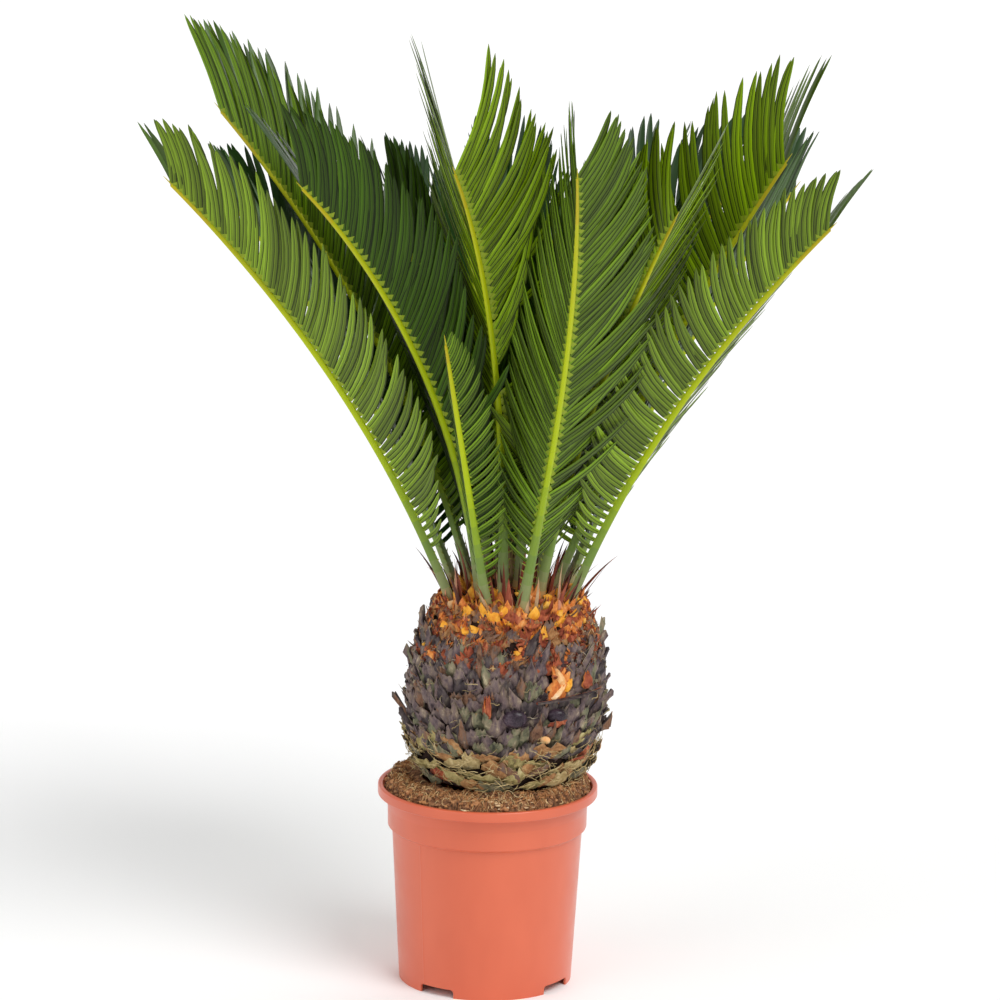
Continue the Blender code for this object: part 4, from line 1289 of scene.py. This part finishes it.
def leaflet_way(rib, frame, blade, hand, swing):
    """The direction of a leaflet. hand is 1 on the rib's left side and -1 on the other."""
    forward, side, up = frame
    spread = LEAFLET_FOOT_ANGLE * (1 - blade) * (1 - 2 * blade) + LEAFLET_TIP_ANGLE * blade * (2 * blade - 1)
    angle = math.radians(spread + rib.spread * 4 * blade * (1 - blade) + swing[0])
    raised = math.radians(mix(rib.rise, LEAFLET_TIP_RISE, blade**3) + swing[1])
    out = side * (hand * math.cos(raised)) + up * math.sin(raised)
    return forward * math.cos(angle) + out * math.sin(angle)


GUARD_SIDES = [(i, (i + 1) % 4, 4 + (i + 1) % 4, 4 + i) for i in range(4)]
GUARD_FACES = GUARD_SIDES + [(4 + i, 4 + (i + 1) % 4, 8) for i in range(4)]
GUARD_CORNERS = 9


class Leaflet:
    """One leaflet's place, direction, length and frame."""

    def __init__(self, root, way, forward, up, hand, length):
        self.root, self.way, self.hand, self.length = root, way, hand, length
        self.across = unit(forward - way * (forward @ way))
        over = np.cross(way, self.across)
        self.over = over if over @ up > 0 else -over

    def guard(self, spare):
        """The corners of a plain stand-in, for testing what the leaflet would touch."""
        wide = self.across * (0.75 * LEAFLET_HALF_WIDTH + spare)
        deep = self.over * (LEAFLET_THICKNESS + spare)
        ring = np.array([wide + deep, deep - wide, -wide - deep, wide - deep])
        near = self.root + self.way * 0.004 + ring
        far = self.root + self.way * 0.75 * self.length + ring * 0.8
        return np.vstack([near, far, self.root + self.way * (self.length + spare)])


def face_tree(points, faces):
    return BVHTree.FromPolygons([Vector(p) for p in points], faces)


class Obstacle:
    """Something that leaflets keep clear of: a tree of faces and its box."""

    def __init__(self, points, faces):
        points = np.asarray(points)
        self.box = (points.min(axis=0), points.max(axis=0))
        self.tree = face_tree(points, [tuple(int(i) for i in face if i >= 0) for face in faces])

    def touched_by(self, points, tree):
        near = (points.min(axis=0) < self.box[1]).all() and (points.max(axis=0) > self.box[0]).all()
        return bool(near) and bool(tree.overlap(self.tree))


def node_obstacle(name):
    mesh = frame["nodes"][name].data
    return Obstacle([tuple(v.co) for v in mesh.vertices], [tuple(p.vertices) for p in mesh.polygons])


def free_leaflet(rib, share, blade, hand, length, obstacles, draw):
    """The leaflet as the rule has it, swung or shortened until it touches nothing, or None."""
    middle, forward, side, up = rib.place(share)
    root = middle + side * (hand * 0.75 * rib_half_width(share)) + up * 0.0002
    own = (draw.uniform(-LEAFLET_JITTER, LEAFLET_JITTER), draw.uniform(-LEAFLET_JITTER, LEAFLET_JITTER))
    for shortening in SHORTENINGS:
        for swing in SWINGS:
            turn = (swing[0] + own[0], swing[1] + own[1])
            way = leaflet_way(rib, (forward, side, up), blade, hand, turn)
            leaflet = Leaflet(root, way, forward, up, hand, length * shortening)
            points = leaflet.guard(CLEARANCE)
            tree = face_tree(points, GUARD_FACES)
            if not any(obstacle.touched_by(points, tree) for obstacle in obstacles):
                return leaflet
    return None


def grow_leaflets(rib, number, obstacles):
    """Both sides of one frond, from its first leaflet to its last."""
    draw = random.Random(SEED + number)
    pairs = round(rib.length * (1 - PETIOLE_SHARE) / LEAFLET_PITCH)
    blades = (np.arange(pairs) + 0.5) / pairs
    grown = []
    for blade, length in zip(blades, leaflet_shares(blades, rib.last) * LEAFLET_LONGEST * rib.leaf):
        for hand in (-1, 1):
            share = mix(PETIOLE_SHARE, 1.0, blade) + hand * 0.25 * LEAFLET_PITCH / rib.length
            full = length * draw.uniform(0.95, 1.03)
            grown.append(free_leaflet(rib, min(share, 1.0), blade, hand, full, obstacles, draw))
    return [leaflet for leaflet in grown if leaflet is not None]


LEAF_STATIONS = (0.0, 0.04, 0.12, 0.26, 0.42, 0.58, 0.73, 0.86, 0.95, 1.0)
LEAF_WIDTHS = (0.74, 0.92, 1.0, 1.0, 1.0, 0.96, 0.86, 0.66, 0.36, 0.03)
# Across a leaflet: place from -1 to 1, and height in thicknesses. The lower side comes first.
LEAF_LOWER = ((-1, -0.1), (-0.7, -0.35), (-0.22, -0.3), (0.0, -0.95), (0.22, -0.3), (0.6, -0.5), (1, 0.1))
LEAF_UPPER = ((0.5, 0.6), (0.0, 0.35), (-0.5, 0.6))


def leaflet_rings(leaflets, draw):
    """The rings of many leaflets, (leaflets, rings, corners, 3)."""
    t = np.array(LEAF_STATIONS)[:, None]
    width = np.array(LEAF_WIDTHS)[:, None]
    fields = ("root", "way", "across", "over")
    root, way, across, over = (np.array([getattr(x, field) for x in leaflets])[:, None] for field in fields)
    length = np.array([x.length for x in leaflets])[:, None, None]
    hand = np.array([x.hand for x in leaflets])[:, None, None, None]
    each = (len(leaflets), 1, 1)
    bow = -LEAFLET_BOW * draw.uniform(0.6, 1.3, each) * np.sin(math.pi * t)
    hook = LEAFLET_HOOK * draw.uniform(0.0, 1.6, each) * t**3
    arch = draw.normal(0, 0.010, each) * t**2
    middle = root + (way * t + across * (bow + hook) + over * arch) * length
    twist = np.radians(LEAFLET_TWIST + draw.normal(0, 4, each) + 8 * t) * np.clip(t / 0.1, 0.3, 1)
    flat = across * np.cos(twist) - over * np.sin(twist)
    face = over * np.cos(twist) + across * np.sin(twist)
    wide = flat * LEAFLET_HALF_WIDTH * np.clip(length / 0.07, 0.55, 1.0) * width
    deep = face * LEAFLET_THICKNESS * np.sqrt(width)
    rings = np.stack([middle + wide * a + deep * b for a, b in LEAF_LOWER + LEAF_UPPER], axis=2)
    return np.where(hand < 0, rings[:, :, ::-1], rings)


# The kinds of strip on a leaflet's lower side, with their strength and roughness. The upper side is kind 3.
# The light strips are painted light, the one beside the midrib also standing for its pale line, and the dark
# strips are painted shadow of the overlapping neighbour leaflet.
LEAF_LIT_AND_SHADED_STRIPS = (("plain", 1.0, 0.46), ("light", 1.22, 0.42), ("dark", 0.52, 0.5))
LIT_AND_SHADED_STRIP_KINDS = (2, 0, 1, 2, 0, 1)
KINDS = len(LEAF_LIT_AND_SHADED_STRIPS) + 1


def leaflet_face_slots(leaflets, first_slot, foot_slot, draw):
    """Strips of plain colour, painted light and painted shadow along the lower side, one tone above, and a
    pale foot.
    """
    corners = len(LEAF_LOWER) + len(LEAF_UPPER)
    faces, ring_of = skin_faces(len(LEAF_STATIONS), corners)
    sides = (len(LEAF_STATIONS) - 1) * corners
    column = np.concatenate([np.arange(sides) % corners, np.zeros(len(faces) - sides, int)])
    by_column = np.array(LIT_AND_SHADED_STRIP_KINDS + (3,) * (corners - len(LIT_AND_SHADED_STRIP_KINDS)))
    # On the other hand the ring runs backwards, so its columns do too.
    kinds = {1: by_column[column], -1: by_column[(corners - 2 - column) % corners]}
    every = np.array([kinds[leaflet.hand] for leaflet in leaflets])
    tints = draw.choice(len(LEAF_TINTS), len(leaflets), p=(0.3, 0.45, 0.25))
    slots = first_slot + KINDS * tints[:, None] + every
    return np.where(ring_of[None] == 0, foot_slot, slots).ravel()


def tone_materials(tone):
    """Plain, painted-light and painted-shadow strips of a leaflet's lower side, and its upper side, in each
    tint.
    """
    lower, upper = LEAF_TONES[tone]
    made = []
    for i, tint in enumerate(LEAF_TINTS, 1):
        for kind, strength, roughness in LEAF_LIT_AND_SHADED_STRIPS:
            made.append(leaf_material(f"leaf_{tone}_{kind}_{i}", colour(lower, strength * tint), roughness))
        made.append(leaf_material(f"leaf_{tone}_upper_{i}", colour(upper, tint), 0.36, 0.25))
    return made


def build_ribs(ribs):
    pile = Pile()
    draw = random.Random(SEED + 80)
    for rib in ribs:
        rings, share = rib_rings(rib)
        faces, ring_of = skin_faces(RIB_RINGS, rings.shape[1])
        pile.add(rings, faces, rib_slots(rib, (share[ring_of] + share[ring_of + 1]) / 2))
        add_spines(pile, rib, draw)
        add_end(pile, rib)
    materials = [leaf_material(f"rib_{i + 1}", colour(rib_colour(i)), 0.42, 0.08) for i in range(RIB_STEPS)]
    materials.append(leaf_material("rib_spine", colour((140, 150, 60)), 0.45))
    pile.piece("frond_ribs", materials, "fronds", 60, numbered("frond", FRONDS))


def add_spines(pile, rib, draw):
    """Short spines along the petiole, which grow towards the first leaflets."""
    tubes = []
    s = np.linspace(0, 1, 4)[:, None, None]
    turns = even_turns(5)[:, None]
    for pair in range(SPINE_PAIRS):
        along_petiole = pair / (SPINE_PAIRS - 1)
        share = mix(0.018, PETIOLE_SHARE - 0.004, along_petiole)
        centre, forward, side, up = rib.place(share)
        for hand in (-1, 1):
            way = unit(side * hand + forward * draw.uniform(0.5, 1.0) + up * 0.2)
            length = mix(0.0018, 0.0060, along_petiole) * draw.uniform(0.8, 1.2)
            across, over = unit(forward - way * (forward @ way)), np.cross(way, forward)
            ring = across * np.cos(turns) + over * np.sin(turns)
            start = centre + side * (hand * 0.85 * rib_half_width(share))
            tubes.append(start + way * length * s + ring * (0.0009 * (1.02 - s)))
    pile.add_tubes(tubes, RIB_STEPS)


def add_end(pile, rib):
    """The fine point that the rib ends in."""
    start, way = rib.at(np.array([1.0]))[0], rib.tangent(np.array([1.0]))[0]
    path = start + way * np.linspace(-0.002, 0.010, 5)[:, None]
    add_threads(pile, path[None], np.linspace(RIB_HALF_WIDTHS[-1], 0.0002, 5)[None], RIB_STEPS - 1, 8)


def rib_obstacle(rib):
    rings, _ = rib_rings(rib)
    return Obstacle(rings.reshape(-1, 3), skin_faces(RIB_RINGS, rings.shape[1])[0])


def leaflet_obstacle(leaflets):
    points = np.concatenate([leaflet.guard(0.0) for leaflet in leaflets])
    shifts = range(0, len(points), GUARD_CORNERS)
    return Obstacle(points, [tuple(shift + c for c in face) for shift in shifts for face in GUARD_FACES])


def build_fronds():
    """Ribs first, so that no leaflet runs through one, then each frond's leaflets in its turn."""
    ribs = [Rib(row) for row in FRONDS]
    build_ribs(ribs)
    fixed = [node_obstacle(name) for name in frame["nodes"] if not name.startswith(("frond", "pot", "soil"))]
    rib_obstacles = [rib_obstacle(rib) for rib in ribs]
    grown_obstacles = []
    batches = [(Pile(), [])]
    tones = list(LEAF_TONES)
    draw = np.random.default_rng(SEED + 81)
    materials = [material for tone in tones for material in tone_materials(tone)]
    materials.append(leaf_material("leaflet_foot", colour(LEAFLET_FOOT_COLOUR), 0.42))
    for number, (name, rib) in enumerate(zip(numbered("frond", FRONDS), ribs)):
        others = rib_obstacles[:number] + rib_obstacles[number + 1 :]
        leaflets = grow_leaflets(rib, number + 1, fixed + others + grown_obstacles)
        grown_obstacles.append(leaflet_obstacle(leaflets))
        rings = leaflet_rings(leaflets, draw)
        first = KINDS * len(LEAF_TINTS) * tones.index(rib.tone)
        slots = leaflet_face_slots(leaflets, first, len(materials) - 1, draw)
        if batches[-1][0].triangles + 2 * len(slots) > MOST_TRIANGLES:
            batches.append((Pile(), []))
        pile, names = batches[-1]
        pile.add_tubes(rings, face_slots=slots)
        names.append(name)
    for number, (pile, names) in enumerate(batches, 1):
        pile.piece(f"leaflets_{number}", materials, "fronds", 70, names)


# ---------------------------------------------------------------- stage, light and camera


def build_floor():
    """A round pale floor whose edge curves up, so that a low view meets no horizon."""
    turns = np.radians(np.linspace(0, COVE_RISE, COVE_STEPS))
    reach = FLOOR_RADIUS + COVE_RADIUS * np.sin(turns)
    height = COVE_RADIUS * (1 - np.cos(turns))
    rings = heading(even_bearings(FLOOR_COLUMNS)) * reach[:, None, None]
    rings[..., 2] = height[:, None]
    faces, _ = skin_faces(COVE_STEPS, FLOOR_COLUMNS, close_end=False)
    mesh = bpy.data.meshes.new("studio_floor")
    faces = [[corner for corner in face if corner >= 0] for face in faces.tolist()]
    mesh.from_pydata(rings.reshape(-1, 3).tolist(), [], faces)
    mesh.shade_smooth()
    floor = new_object("studio_floor", mesh)
    material, _, shader = new_material("studio_floor", (0.97, 0.97, 0.97, 1), 0.9)
    fill_inputs(shader, {"Specular IOR Level": 0.1})
    mesh.materials.append(material)


def add_sun(name, bearing, height, softness, strength):
    """A broad soft light from a bearing and a height above the floor, in degrees."""
    data = bpy.data.lights.new(name, "SUN")
    data.angle = math.radians(softness)
    data.energy = strength
    to_light = Vector(along(bearing, 90 - height))
    new_object(name, data).rotation_euler = to_light.to_track_quat("Z", "Y").to_euler()


def build_light():
    world = bpy.data.worlds.new("studio")
    world.use_nodes = True
    fill_inputs(world.node_tree.nodes["Background"], {"Color": (1, 1, 1, 1), "Strength": WORLD_LIGHT})
    bpy.context.scene.world = world
    for sun in SUNS:
        add_sun(*sun)
    bpy.context.scene.view_settings.view_transform = "Standard"
    bpy.context.scene.view_settings.look = "None"


def build_camera():
    yaw, pitch, roll = (math.radians(a) for a in (CAMERA_YAW, CAMERA_PITCH, CAMERA_ROLL))
    right = Vector((math.cos(yaw), -math.sin(yaw), 0))
    ahead = Vector((math.sin(yaw) * math.cos(pitch), math.cos(yaw) * math.cos(pitch), -math.sin(pitch)))
    up = right.cross(ahead)
    rolled_right = right * math.cos(roll) + up * math.sin(roll)
    rolled_up = up * math.cos(roll) - right * math.sin(roll)
    data = bpy.data.cameras.new("photo_camera")
    data.lens, data.sensor_width = CAMERA_LENS, SENSOR_WIDTH
    camera = new_object("photo_camera", data)
    axes = Matrix((rolled_right, rolled_up, -ahead)).transposed()
    camera.matrix_world = Matrix.Translation(CAMERA_PLACE) @ axes.to_4x4()
    bpy.context.scene.camera = camera


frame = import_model()
build_camera()
build_light()
build_floor()
build_pot()
build_soil()
build_trunk()
build_cataphylls()
build_heart()
build_fronds()
